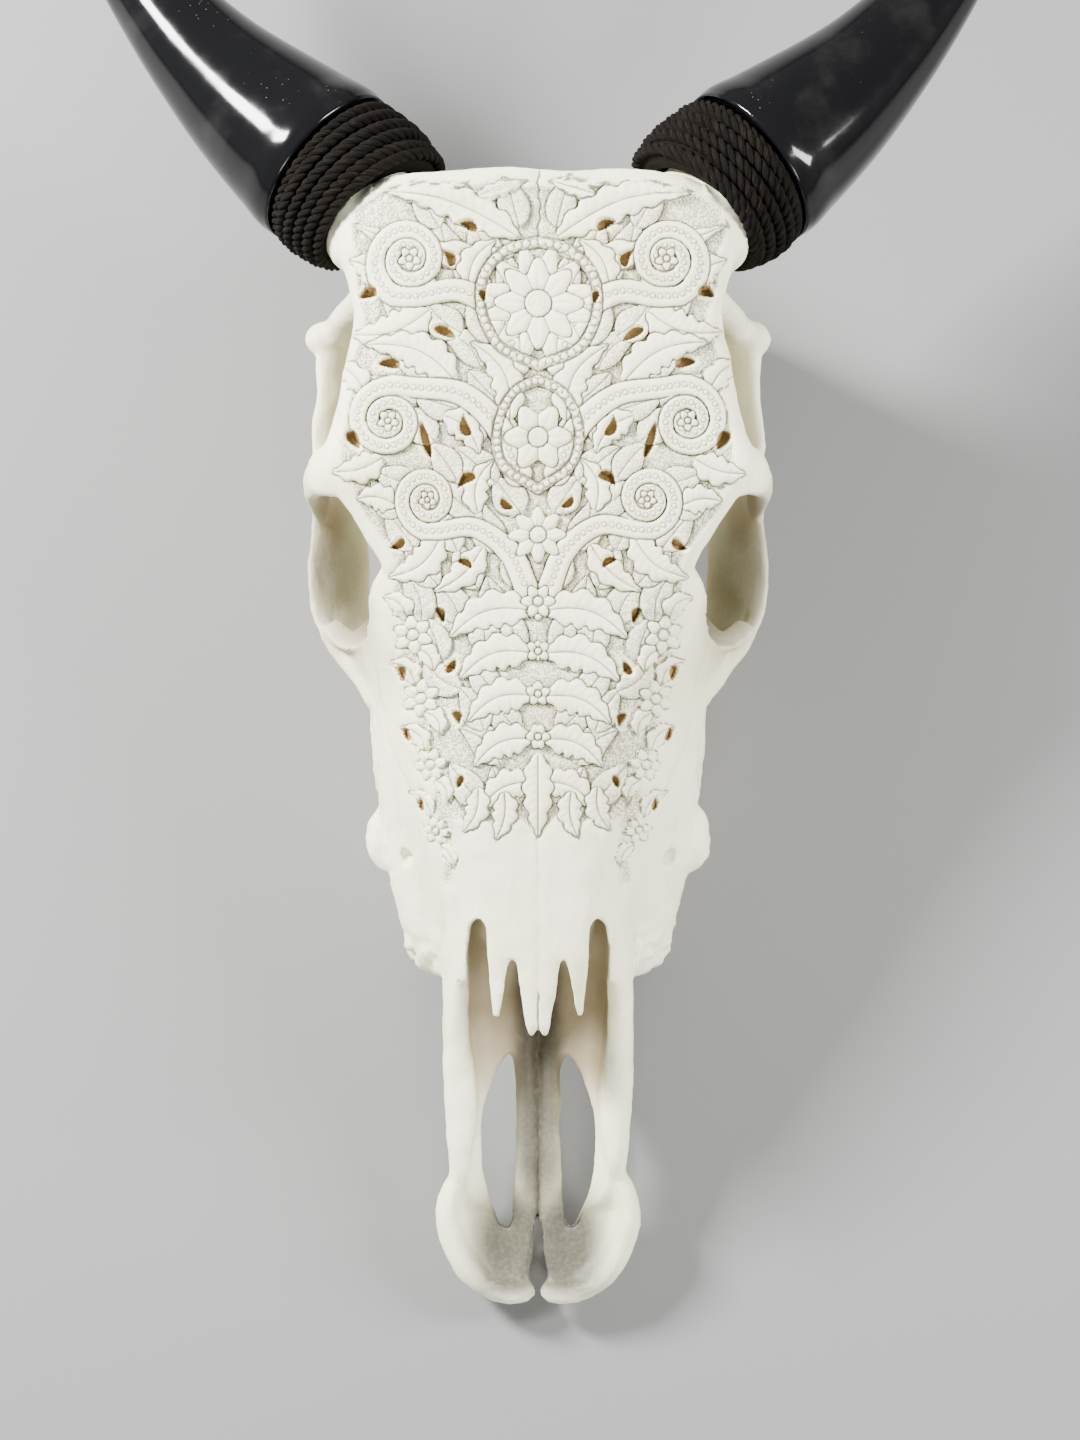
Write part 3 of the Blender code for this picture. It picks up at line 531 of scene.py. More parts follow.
# Each half of the slit between the two ends of the upper jaw, from its rear end to the front.
FRONT_SLIT = ((0.5, -223), (1.0, -229), (2.2, -233.5), (3.8, -239), (4.4, -243), (3.4, -246.5), (0.8, -249),
              (0.7, -275))


def add_hollows(bm):
    """Everything that is open: nose, brain case from the foramen magnum, throat, orbits, small holes."""
    brain_case = (((0, 240, -112), 17, 16), ((0, 200, -112), 19, 17), ((0, 186, -104), 22, 22),
                  ((0, 160, -80), 34, 34), ((0, 130, -66), 30, 34), ((0, 108, -60), 12, 16))
    throat = (((0, 36, -90), 14, 12), ((0, 62, -112), 15, 14), ((0, 84, -134), 16, 16))
    orbit = (((126, 60, -22), 38, 34), ((92, 62, -40), 34, 27), ((70, 68, -44), 27, 22),
             ((54, 82, -46), 15, 14))
    infraorbital_hole = (((60, -60, -56), 4, 5), ((44, -58, -54), 3, 4))
    binding_seat = ((SHOULDER, CORE_RADIUS), (-SEAT_OVERRUN, CORE_RADIUS), (-SEAT_OVERRUN, SEAT_RADIUS),
                    (SHOULDER, SEAT_RADIUS))
    whole_slit = FRONT_SLIT + tuple((-x, y) for x, y in FRONT_SLIT[::-1])
    add_loft(bm, AIRWAY)
    add_plan(bm, whole_slit, -90, -40, smooth=False)
    add_limb(bm, brain_case)
    add_limb(bm, throat, face=(0, 1, 1))
    for name, side in SIDES.items():
        add_rings(bm, rings_behind_mouth(name, binding_seat), endless=True)
        add_plan(bm, NOSE_OPENING, -60, 10, side, smooth=False)
        add_plan(bm, FISSURE, -95, -40, side)
        add_limb(bm, orbit, side)
        add_limb(bm, infraorbital_hole, side)


# The relief


def bead_distance(run, off, length, pitch):
    """Distance from the middle of the nearest bead of an even row along a path."""
    count = max(1, round(length / pitch))
    return np.hypot(np.abs(run * count % 1 - 0.5) / count * length, off)


def dome(share):
    """A round cap over a share of its radius: 1 in the middle, 0 at the rim."""
    return np.sqrt(np.clip(1 - share**2, 0, 1))


class Relief:
    """The carving of one half of the forehead, as heights in millimetres over a fine grid. Each form is laid
    over the forms before it and gets a cut line round it. The other half mirrors it."""

    def __init__(self):
        self.x = np.arange(0.0, RELIEF_RIGHT, RELIEF_PITCH)
        self.y = np.arange(RELIEF_LOW, RELIEF_HIGH, RELIEF_PITCH)
        across, along = np.meshgrid(self.x, self.y)
        scallop = SCALLOP_DEPTH * np.abs(np.cos(across * math.pi / SCALLOP_WIDTH))
        worked = np.maximum(soft_step(*NOSE_EDGE, along + scallop - SCALLOP_SLANT * across),
                            soft_step(*CHEEK_EDGE, along) * soft_step(*CHEEK_INSIDE, across))
        wave = 1.6 * np.sin(along / 5.0) + 1.2 * np.sin(across / 6.0)
        worked *= soft_step(*RIM_MARGIN, across + wave - np.interp(along, *zip(*PLATE_RIM)))
        worked *= soft_step(*POLL_EDGE, along + wave)
        self.height = GROUND_HEIGHT * worked
        # How dark the colour is drawn: painted shade in the cuts.
        self.line = np.zeros(across.shape)
        self.stipple = worked
        self.hole = np.zeros(across.shape)

    def window(self, points, reach):
        """The part of the grid within reach of some points."""
        corner = (0, RELIEF_LOW)
        low = ((np.min(points, 0) - reach - corner) / RELIEF_PITCH).astype(int).clip(0)
        high = (((np.max(points, 0) + reach - corner) / RELIEF_PITCH).astype(int) + 1).clip(0)
        place = (slice(low[1], high[1]), slice(low[0], high[0]))
        return place, *np.meshgrid(self.x[place[1]], self.y[place[0]])

    def lay(self, place, inside, surface, stipple=0.0):
        """Lays a form: inside is the distance in from its edge, surface its own height."""
        on = inside > 0
        fields = {"height": surface, "stipple": stipple, "hole": 0.0, "line": 0.0}
        for name, value in fields.items():
            field = getattr(self, name)
            field[place] = np.where(on, value, field[place])
        self.cut(place, np.abs(inside))

    def cut(self, place, distance, depth=LINE_DEPTH, half_width=LINE_HALF_WIDTH):
        """A cut line of V section where distance is small; its groove is darkened with painted shade."""
        share = np.clip(1 - distance / half_width, 0, 1)
        self.height[place] -= depth * share
        self.darken(place, share * min(depth / LINE_DEPTH, 1.0))

    # Darkens the colour: painted shade in a cut.
    def darken(self, place, shade):
        self.line[place] = np.maximum(self.line[place], shade)

    def along_path(self, path, reach):
        """For the grid near a path: the place, the share of the path run, the signed distance from the path,
        and the path's length."""
        place, across, along = self.window(path, reach)
        best = np.full(across.shape, np.inf)
        run = np.zeros(across.shape)
        off = np.zeros(across.shape)
        steps = np.diff(path, axis=0)
        lengths = np.maximum(np.linalg.norm(steps, axis=1), 1e-6)
        start = np.concatenate([[0], np.cumsum(lengths)])
        for point, step, length, gone in zip(path, steps, lengths, start):
            way = step / length
            u = np.clip((across - point[0]) * way[0] + (along - point[1]) * way[1], 0, length)
            dx = across - point[0] - way[0] * u
            dy = along - point[1] - way[1] * u
            far = np.hypot(dx, dy)
            nearer = far < best
            best = np.where(nearer, far, best)
            run = np.where(nearer, (gone + u) / start[-1], run)
            off = np.where(nearer, np.sign(way[0] * dy - way[1] * dx) * far, off)
        return place, run, off, start[-1]

    def vine(self, path, wide, narrow):
        """A rounded stem that thins along its path, with a row of beads let into its middle."""
        place, run, off, length = self.along_path(path, wide + 2)
        half = wide + (narrow - wide) * run
        self.lay(place, half - np.abs(off), VINE_CROWN * dome(np.clip(np.abs(off) / half, 0, 1)))
        far = bead_distance(run, off, length, BEAD_PITCH)
        bead = np.clip(1 - far / BEAD_RADIUS, 0, 1)
        ring = np.clip(1 - np.abs(far - BEAD_RADIUS) / BEAD_RING, 0, 1)
        wanted = (half > BEAD_RADIUS + 1.0) & (np.abs(off) < half)
        self.height[place] += np.where(wanted, BEAD_HEIGHT * np.sqrt(bead) - 0.5 * ring, 0)
        # The cut ring round each bead is darkened with painted shade.
        self.darken(place, np.where(wanted, 0.7 * ring, 0))

    def leaf(self, base, tip, width, bend=0.0, lobes=5, crown=LEAF_CROWN, stipple=0.0):
        """A leaf with a cut midrib and side veins, its halves hollowed towards the rib."""
        base, tip = np.array(base, float), np.array(tip, float)
        side = np.array([tip[1] - base[1], base[0] - tip[0]])
        t = np.linspace(0, 1, 25)[:, None]
        path = base + (tip - base) * t + side * bend * np.sin(math.pi * t)
        place, run, off, length = self.along_path(path, width + 2)
        taper = np.sin(math.pi * np.clip(run, 0, 1) ** 0.72) ** 0.85
        notch = 1 - LOBE_DEPTH * np.abs(np.sin(math.pi * lobes * run)) ** 3 * (run < LOBES_END) * (lobes > 0)
        half = np.maximum(width * taper * notch, 0.02)
        share = np.clip(np.abs(off) / half, 0, 1)
        surface = crown * (RIB_LEVEL + (1 - RIB_LEVEL) * np.sin(math.pi * share**0.8))
        inside = np.where((run > 0) & (run < 1), half - np.abs(off), -1.0)
        self.lay(place, inside, surface, stipple)
        on = inside > 0.4
        veins = 2 * lobes or 7
        vein = np.abs((run * veins - share * 0.9) % 1 - 0.5) / veins * length
        self.cut(place, np.where(on, np.abs(off), UNCUT), *RIB_CUT)
        self.cut(place, np.where(on & (share > 0.12), vein, UNCUT), *VEIN_CUT)

    def rosette(self, middle, radius, petals, rings=1, turned=0.0):
        """A flower: petals round a boss with some cut rings."""
        place, across, along = self.window(np.array([middle]), radius + 2)
        dx, dy = across - middle[0], along - middle[1]
        far, angle = np.hypot(dx, dy), np.arctan2(dx, dy) + turned
        fan = angle * petals / (2 * math.pi) % 1 - 0.5
        edge = radius * (0.84 + 0.16 * np.cos(2 * math.pi * fan))
        share = np.clip(far / edge, 0, 1)
        petal = 0.5 * np.cos(math.pi * fan) ** 0.6 + 0.55 * np.sin(math.pi * share**1.3)
        self.lay(place, edge - far, LEAF_CROWN * petal)
        boss = radius * BOSS_SHARE
        arc = far * 2 * math.pi / petals
        self.cut(place, np.where((far < edge) & (far > boss), (0.5 - np.abs(fan)) * arc, UNCUT), *PETAL_CUT)
        self.cut(place, np.where(far < edge * 0.86, np.abs(fan) * arc, UNCUT), *PETAL_RIB_CUT)
        self.lay(place, boss - far, BOSS_HEIGHT * dome(far / boss))
        for k in range(rings):
            self.cut(place, np.abs(far - boss * (0.62 - 0.3 * k)), *BOSS_CUT)

    def pierced(self, x, y, length, width, turned):
        """An almond-shaped hole through the outer plate of the bone, a little bowed and uneven."""
        place, across, along = self.window(np.array([(x, y)]), length + 2)
        turn = math.radians(turned)
        u = ((across - x) * math.cos(turn) + (along - y) * math.sin(turn)) / HOLE_GROWTH
        v = ((along - y) * math.cos(turn) - (across - x) * math.sin(turn)) / HOLE_GROWTH
        belly = 1 - (2 * u / length) ** 2
        v = v + HOLE_BOW * math.sin(x + 2 * y) * width * belly + 0.12 * np.sin(5 * u + x)
        skew = HOLE_SKEW * math.sin(2.3 * x + y)
        half = width / 2 * np.clip(belly, 0, 1) ** 0.6 * (1 + skew * 2 * u / length)
        inside = np.minimum(half - np.abs(v), length / 2 - np.abs(u))
        open_share = np.clip(inside / HOLE_WALL + 0.1, 0, 1)
        lip = np.exp(-((inside + 0.8) / 0.7) ** 2)
        self.height[place] += LIP_HEIGHT * lip - HOLE_DEPTH * open_share
        self.hole[place] = np.maximum(self.hole[place], open_share)
        self.stipple[place] = np.where(inside > -1.2, 0.0, self.stipple[place])

    def bead_row(self, path, radius):
        """Raised beads side by side along a path, between two cut lines."""
        place, run, off, length = self.along_path(path, radius + 2)
        self.lay(place, radius + 0.7 - np.abs(off), 0.0)
        far = bead_distance(run, off, length, 2.1 * radius)
        self.height[place] += np.where(far < radius, dome(far / radius) - 0.35, 0)
        # The cut round each bead is darkened with painted shade.
        self.darken(place, np.clip(1 - np.abs(far - radius) / 0.4, 0, 1) * 0.8)


def volute(middle, radius, turns, hand, start):
    """Points winding inwards to a middle; hand 1 winds anticlockwise, start is the first angle in degrees."""
    t = np.linspace(0, 1, round(26 * turns))[:, None]
    angle = math.radians(start) + hand * turns * 2 * math.pi * t
    reach = radius * (1 - 0.84 * t**0.8)
    return np.hstack([middle[0] + reach * np.cos(angle), middle[1] + reach * np.sin(angle)])


def smooth_path(points, step=1.5):
    """A path through some points, resampled."""
    points = np.array(points, float)
    reach = np.concatenate([[0], np.cumsum(np.linalg.norm(np.diff(points, axis=0), axis=1))])
    line = curve_through(reach, points)
    return np.array([line(s) for s in np.linspace(0, reach[-1], max(3, round(reach[-1] / step)))])


def scroll(stem, middle, radius, turns, hand, start):
    """A stem that leads into a volute."""
    curl = volute(middle, radius, turns, hand, start)
    return np.vstack([smooth_path([*stem, curl[0]])[:-1], curl])


def background_leaves(relief):
    """Foliage under the main forms: leaves on a loose lattice, turned outwards from the middle line."""
    rng = np.random.default_rng(11)
    rim = curve_of(PLATE_RIM)
    for row, y in enumerate(np.arange(-34.0, 218.0, 15.0)):
        for x in np.arange(8.0 + 8.5 * (row % 2), 92.0, 17.0):
            px, py = x + rng.uniform(-1.5, 1.5), y + rng.uniform(-1.5, 1.5)
            turn = math.radians(rng.uniform(-14, 14) + 66 - 0.55 * px + 16 * math.sin(py / 26))
            reach = rng.uniform(19, 24)
            tip = (px + reach * math.cos(turn), py + reach * math.sin(turn))
            if tip[0] < rim(tip[1]) - 4:
                relief.leaf((px, py), tip, rng.uniform(6.2, 7.4), rng.uniform(-0.16, 0.16), 0, 0.35, 0.55)


def carve_forehead():
    """Scrolls, leaves and flowers over a stippled ground, from the poll down to the root of the nose."""
    relief = Relief()
    background_leaves(relief)
    # the long leaves along the poll and out to the horns
    relief.leaf((8, 203), (66, 222), 8.5, -0.10, 7)
    relief.leaf((10, 196), (80, 209), 6.5, 0.08, 6)
    relief.leaf((24, 221), (4, 227), 4.0, 0.0, 4)
    # upper scrolls, one in each corner of the plate
    relief.leaf((46, 172), (78, 164), 9.0, 0.14, 5)
    relief.leaf((64, 180), (80, 194), 7.0, -0.16, 4)
    relief.leaf((30, 182), (17, 202), 6.5, 0.15, 4)
    relief.vine(scroll([(9, 150), (16, 168), (34, 180), (52, 178)], (54, 194), 16.5, 2.0, 1, -70), 5.8, 2.4)
    # middle scrolls, turning out over the orbits
    relief.leaf((36, 142), (72, 159), 8.5, -0.14, 6)
    relief.leaf((12, 126), (30, 158), 7.5, -0.18, 5)
    relief.leaf((66, 110), (88, 104), 7.0, 0.10, 4)
    relief.leaf((72, 138), (85, 152), 6.0, -0.12, 3)
    relief.leaf((40, 128), (24, 112), 6.5, 0.14, 4)
    relief.vine(scroll([(8, 104), (16, 122), (32, 136), (54, 140)], (63, 126), 15.5, 2.0, -1, 100), 5.6, 2.2)
    # lower scrolls beside the root of the nose
    relief.leaf((40, 78), (64, 60), 7.5, 0.15, 5)
    relief.leaf((60, 90), (78, 92), 6.5, -0.12, 4)
    relief.leaf((24, 88), (18, 110), 6.0, 0.18, 4)
    relief.leaf((22, 74), (44, 54), 6.5, 0.10, 4)
    relief.vine(scroll([(5, 56), (12, 72), (26, 82), (42, 80)], (46, 93), 13.5, 1.9, 1, -80), 5.0, 2.0)
    # pairs of leaves down the nose, each over the one below, with a bud between them
    for k in range(5):
        y, reach = -34 + 18 * k, 24 + 3.5 * k
        relief.leaf((2.5, y + 8), (reach, y - 4), 7.2 + 0.4 * k, -0.16, 5)
        relief.rosette((0, y + 9), 5.4, 5, 0, 0.3 * k)
    relief.leaf((25, -28), (31, -47), 5.6, 0.14, 4)
    relief.leaf((14, -30), (17, -50), 5.6, 0.10, 4)
    relief.leaf((0, -14), (0, -50), 7.0, 0.0, 5)
    # small flowers and leaves down the cheeks
    for x, y, size in ((53, 36, 8.5), (50, 9, 8.0), (46, -19, 7.2), (43, -47, 6.0)):
        relief.leaf((x + 2, y + 6), (x + 13, y + 16), size * 0.62, -0.2, 3)
        relief.leaf((x - 2, y - 6), (x - 8, y - 16), size * 0.58, 0.2, 3)
        relief.rosette((x, y), size, 6, 1, y)
    # the middle line: flowers under the poll, between the orbits and at the root of the nose
    relief.rosette((0, 175), 25.0, 12, 0)
    relief.bead_row(smooth_path([(0, 201), (12, 198), (23, 187), (25, 173), (18, 157), (0, 149)]), 1.6)
    relief.rosette((0, 175), 19.5, 8, 2, math.pi / 8)
    relief.bead_row(smooth_path([(0, 143), (10, 138), (17, 124), (15, 109), (0, 97)]), 1.4)
    relief.rosette((0, 119), 14.5, 6, 2)
    relief.rosette((0, 78), 12.0, 8, 1, math.pi / 8)
    relief.rosette((0, 50), 7.5, 6, 1)
    # buds in the scrolls' eyes
    for x, y, size in ((54, 194, 5.2), (63, 126, 4.8), (46, 93, 4.2)):
        relief.rosette((x, y), size, 5, 0)
    for opening in (SUPRAORBITAL_GROOVE, *PIERCINGS):
        relief.pierced(*opening)
    return relief


# Meshes from forms


def linked(name, data):
    """An object in the scene, made from its data."""
    obj = bpy.data.objects.new(name, data)
    bpy.context.scene.collection.objects.link(obj)
    return obj


def collection_mesh(name, add_forms):
    """An object holding some forms."""
    bm = bmesh.new()
    add_forms(bm)
    bmesh.ops.recalc_face_normals(bm, faces=bm.faces)
    mesh = bpy.data.meshes.new(name)
    bm.to_mesh(mesh)
    bm.free()
    return linked(name, mesh)


def voxel(obj, grid):
    remesh = obj.modifiers.new("clay", "REMESH")
    remesh.mode = "VOXEL"
    remesh.voxel_size = grid


def settled(obj):
    """The object's mesh with its modifiers worked in, as a plain mesh."""
    graph = bpy.context.evaluated_depsgraph_get()
    mesh = bpy.data.meshes.new_from_object(obj.evaluated_get(graph))
    old = obj.data
    obj.modifiers.clear()
    obj.data = mesh
    bpy.data.meshes.remove(old)
    return mesh


def drop(obj):
    mesh = obj.data
    bpy.data.objects.remove(obj)
    bpy.data.meshes.remove(mesh)


def vector_of(mesh, name):
    """A vector of every vertex of a mesh, as rows."""
    flat = np.empty(len(mesh.vertices) * 3)
    mesh.vertices.foreach_get(name, flat)
    return flat.reshape(-1, 3)


def points_of(mesh):
    return vector_of(mesh, "co")


def normals_of(mesh):
    return vector_of(mesh, "normal")


def store(mesh, name, values):
    field = mesh.attributes.new(name, "FLOAT", "POINT")
    field.data.foreach_set("value", np.ascontiguousarray(values, dtype=np.float32))


def place_piece(obj, name, place=RESTING):
    """Names a finished piece, turns it into metres and moves it to its resting place."""
    obj.name = name
    obj.data.name = name
    obj.data.transform(place @ Matrix.Scale(MM, 4))
    obj.data.shade_smooth()
    return obj


# The bone's surface


def grid_sample(relief, points):
    """Height, line, stipple and hole of the relief under some points, the left half a little off true."""
    x, y = points[:, 0], points[:, 1]
    sway = np.where(x < 0, 1.3 * np.sin(x / 17.0) * np.sin(y / 23.0 + 1.0), 0)
    x, y = np.abs(x + sway * np.clip(-x / 12, 0, 1)), y + 0.8 * sway
    u = np.clip(x / RELIEF_PITCH, 0, len(relief.x) - 1.001)
    v = np.clip((y - RELIEF_LOW) / RELIEF_PITCH, 0, len(relief.y) - 1.001)
    i, j = u.astype(int), v.astype(int)
    p, q = u - i, v - j
    out = []
    for field in (relief.height, relief.line, relief.stipple, relief.hole):
        out.append((field[j, i] * (1 - p) + field[j, i + 1] * p) * (1 - q)
                   + (field[j + 1, i] * (1 - p) + field[j + 1, i + 1] * p) * q)
    return out


def outer_face(points):
    """1 on the face's outer surface, 0 in the hollows under it."""
    falls_by = 0.75 * np.clip(np.abs(points[:, 0]) - 34, 0, 60) + 0.2 * np.clip(-points[:, 1], 0, 200)
    return (points[:, 2] > -24 - falls_by).astype(float)


def facing(points, normals):
    """How far the carving holds: where the bone faces the carver, on the outer surface."""
    return soft_step(0.30, 0.55, normals[:, 2]) * outer_face(points)


def folded(points):
    """The points of both halves, all on the right."""
    return np.column_stack([np.abs(points[:, 0]), points[:, 1:]])


def zone(points, middle, reach, flatness):
    """1 in the middle of a rounded zone, fading outwards."""
    return np.exp(-(((points - middle) / reach) ** 2).sum(1) ** flatness)


def waves(points, size, seed):
    """An even, cloudy field between about -1 and 1, with forms of some size in millimetres."""
    rng = np.random.default_rng(seed)
    total = np.zeros(len(points))
    for _ in range(18):
        way = rng.normal(size=3)
        way *= 2 * math.pi / (size * rng.uniform(0.7, 1.5) * np.linalg.norm(way))
        total += np.sin(points @ way + rng.uniform(0, 2 * math.pi))
    return total / 4.0


def wandering(path, sway):
    """A seam's path through some points, wandering as a bone's seams do."""
    line = smooth_path(path, 1.6)
    k = np.arange(len(line))
    line[:, 0] += sway * (np.sin(k * 1.7) + 0.6 * np.sin(k * 0.61 + 2))
    line[:, 1] += sway * 0.5 * np.sin(k * 1.1 + 1)
    return line


def far_from(flat, path, reach):
    """Distance of flat points from a path, no more than reach."""
    far = np.full(len(flat), reach)
    low, high = path.min(0) - reach, path.max(0) + reach
    near = np.flatnonzero(((flat > low) & (flat < high)).all(1))
    best = np.full(len(near), reach)
    for a, b in zip(path, path[1:]):
        step = b - a
        share = np.clip(((flat[near] - a) @ step) / max(step @ step, 1e-9), 0, 1)
        best = np.minimum(best, np.linalg.norm(flat[near] - a - share[:, None] * step, axis=1))
    far[near] = best
    return far


def seams(points, normals):
    """Where the skull's bones meet: how dark each point is, and how deep it lies."""
    dark, deep = np.zeros(len(points)), np.zeros(len(points))
    x, z, up = np.abs(points[:, 0]), points[:, 2], normals[:, 2]
    faces = {"top": ((0, 1), (up > 0.35) & (outer_face(points) > 0)),
             "side": ((1, 2), (np.abs(normals[:, 0]) > 0.5) & (x > 28)),
             "under": ((0, 1), (up < -0.5) & (z < -60)),
             "floor": ((0, 1), (up > 0.0) & (z < -52))}
    for face, path, sway, width, depth, shade in SEAMS:
        axes, seen = faces[face]
        both_halves = face != "side" and path[0][0] > 2
        flat = (folded(points) if both_halves else points)[:, axes]
        share = np.clip(1 - far_from(flat, wandering(path, sway), width) / width, 0, 1) * seen
        dark, deep = np.maximum(dark, share * shade), np.maximum(deep, share * depth)
    return dark, deep


def hollowing(points, normals):
    """How far the muzzle's upper side sinks: the valley between the rods and the dishes of both ends."""
    half, y, z = folded(points), points[:, 1], points[:, 2]
    upper = soft_step(0.1, 0.5, normals[:, 2]) * (z < -50) * (z > -84)
    valley = 3.0 * zone(half, *VALLEY_HOLLOW) * soft_step(-112, -128, y) * soft_step(-250, -238, y)
    return upper * (valley + 3.6 * zone(half, *DISH_HOLLOW))


def grime_and_shade(points, normals):
    """Grey darkening, part soiling and part painted shade, deepest in the paddles' dishes, on the rods and in
    the valley between them; in the orbits it is painted shade only. Faint cloudy patches lie on faces not
    turned up."""
    half, y, z = folded(points), points[:, 1], points[:, 2]
    lower = (z < -48) & (z > -84) & (normals[:, 2] > -0.2)
    dish = 1.5 * zone(half, *DISH_SOIL_AND_SHADE) * soft_step(-255, -247, y)
    rods = 0.88 * zone(half, *ROD_SOIL_AND_SHADE) * soft_step(-98, -118, y) * soft_step(-236, -190, y)
    valley = 0.95 * zone(half, *VALLEY_SOIL_AND_SHADE) * soft_step(-104, -122, y) * soft_step(-252, -240, y)
    orbit = 0.72 * zone(half, *ORBIT_PAINTED_SHADE) * soft_step(-14, -28, z)
    patch = 0.05 * soft_step(0.2, 1.2, waves(points, 34, 5)) * (normals[:, 2] < 0.3)
    muzzle = np.maximum.reduce([dish, rods, valley]) * lower
    return 1 - CLEAN_LEFT ** np.clip(np.maximum.reduce([muzzle, orbit, patch]), 0, 1)


def unevenness(points, normals):
    """The small swells and pits of weathered bone, stronger round the teeth and where muscles held."""
    rough = zone(points, *TOOTH_ZONE) * soft_step(-40, -75, points[:, 2])
    plain = 1 - 0.8 * facing(points, normals) * (points[:, 1] > -46)
    swell = 0.22 * waves(points, 16, 1) + (0.10 + 0.22 * rough) * waves(points, 5.5, 2)
    corner = (zone(points, *CHEEK_CORNER) * soft_step(36, 45, np.abs(points[:, 0]))
              * soft_step(-36, -46, points[:, 2]))
    lumps = corner * (0.9 * waves(points, 8.5, 3) + 0.28 * waves(points, 4.2, 4) - 0.3)
    return swell * plain + lumps


def soften_shoulders(mesh):
    """Rounds the bone's edges beside the cord bindings."""
    points = points_of(mesh)
    near = np.zeros(len(points), bool)
    for side_name in SIDES:
        _, mouth, way = horn_axis(side_name)[0]
        off = points - np.array(mouth)
        back = -(off @ np.array(way))
        out = np.sqrt(np.maximum((off**2).sum(1) - back**2, 0))
        near |= (back > SOFT_BACK[0]) & (back < SOFT_BACK[1]) & (out > SOFT_OUT[0]) & (out < SOFT_OUT[1])
    bm = bmesh.new()
    bm.from_mesh(mesh)
    bm.verts.ensure_lookup_table()
    chosen = [bm.verts[i] for i in np.flatnonzero(near)]
    for _ in range(SOFT_ROUNDS):
        bmesh.ops.smooth_vert(bm, verts=chosen, factor=0.5, use_axis_x=True, use_axis_y=True, use_axis_z=True)
    bm.to_mesh(mesh)
    bm.free()


def poll_wave(points):
    """How far the poll's edge swells towards the rear, so that it isn't straight."""
    swell = sum(height * zone(points, *place) for height, place in POLL_SWELLS) - POLL_SINK
    return swell * soft_step(208, 230, points[:, 1]) * (np.abs(points[:, 0]) < 70)


def carve(mesh, relief):
    """Cuts the relief into the bone: finer faces where it is worked, then each point sunk or raised."""
    points, normals = points_of(mesh), normals_of(mesh)
    height, line, _, hole = grid_sample(relief, points)
    busy = (facing(points, normals) > 0.02) & ((np.abs(height) > 0.04) | (line > 0.02) | (hole > 0.02))
    busy |= seams(points, normals)[1] > 0
    bm = bmesh.new()
    bm.from_mesh(mesh)
    worked = [e for e in bm.edges if busy[e.verts[0].index] and busy[e.verts[1].index]]
    bmesh.ops.subdivide_edges(bm, edges=worked, cuts=CARVED_CUTS, use_grid_fill=True)
    bm.to_mesh(mesh)
    bm.free()
    points, normals = points_of(mesh), normals_of(mesh)
    hold = facing(points, normals)
    height, _, _, hole = grid_sample(relief, points)
    deep = np.minimum(height, 0) * np.clip(hole, 0, 1)
    # the raised forms near the poll and the paddles' ends keep inside the solid's reach
    within = 0.85 * soft_step(196, 216, points[:, 1]) * hold + 0.75 * soft_step(-246, -254, points[:, 1])
    lift = (height - deep) * hold + unevenness(points, normals) - seams(points, normals)[1] - within
    down = deep * hold - hollowing(points, normals)
    points = points + normals * lift[:, None]
    points[:, 2] += down
    points[:, 1] += poll_wave(points)
    mesh.vertices.foreach_set("co", points.ravel())
    mesh.update()


def unbleached_and_shade(points, normals):
    """Where the bone is unbleached and darkened with painted shade: inside the nose, the orbits and the brain
    case, and lower down the sides of the rear part.
    """
    half, x, y, z = folded(points), np.abs(points[:, 0]), points[:, 1], points[:, 2]
    tint = 1.5 * np.maximum.reduce([zone(half, middle, reach, 1.5) for middle, reach in UNBLEACHED_AND_SHADED])
    below_rail = soft_step(1, 8, np.interp(y, *zip(*RAIL_TOP)) - z)
    inside_nose = (soft_step(33, 29, x) * soft_step(-182, -150, y) * soft_step(-50, -70, y)
                   * below_rail * soft_step(-75, -72, z))
    # Painted shade, growing with depth down the sides of the rear part.
    shaded = 0.22 * soft_step(-28, -64, z) * soft_step(-10, 30, y)
    under_palate = (normals[:, 2] < -0.3) & (y < 40) & (z < -68)
    tint = np.clip(np.maximum.reduce([tint, inside_nose, shaded]), 0, 1)
    return tint * soft_step(-12, -26, z) * np.where(under_palate, 0.1, 1.0)


def mark_bone(mesh, relief):
    """What the bone's colour reads: cut lines and stippled ground darkened with painted shade, seams, pierced
    holes, unbleached hollows with painted shade, and soiling with painted shade.
    """
    points, normals = points_of(mesh), normals_of(mesh)
    _, line, stipple, hole = grid_sample(relief, points)
    hold = facing(points, normals)
    walls = outer_face(points) * (normals[:, 2] > -0.25)
    # Cut lines carry painted shade; the seams' darkness is their own colour.
    carved_line = line * np.where(hole > 0.1, 1, np.maximum(hold, 0.4)) * walls
    store(mesh, "line", np.maximum(carved_line, seams(points, normals)[0]))
    store(mesh, "stipple", stipple * hold)
    store(mesh, "hole", hole * walls)
    store(mesh, "unbleached_shade", unbleached_and_shade(points, normals))
    store(mesh, "grime_and_shade", grime_and_shade(points, normals))


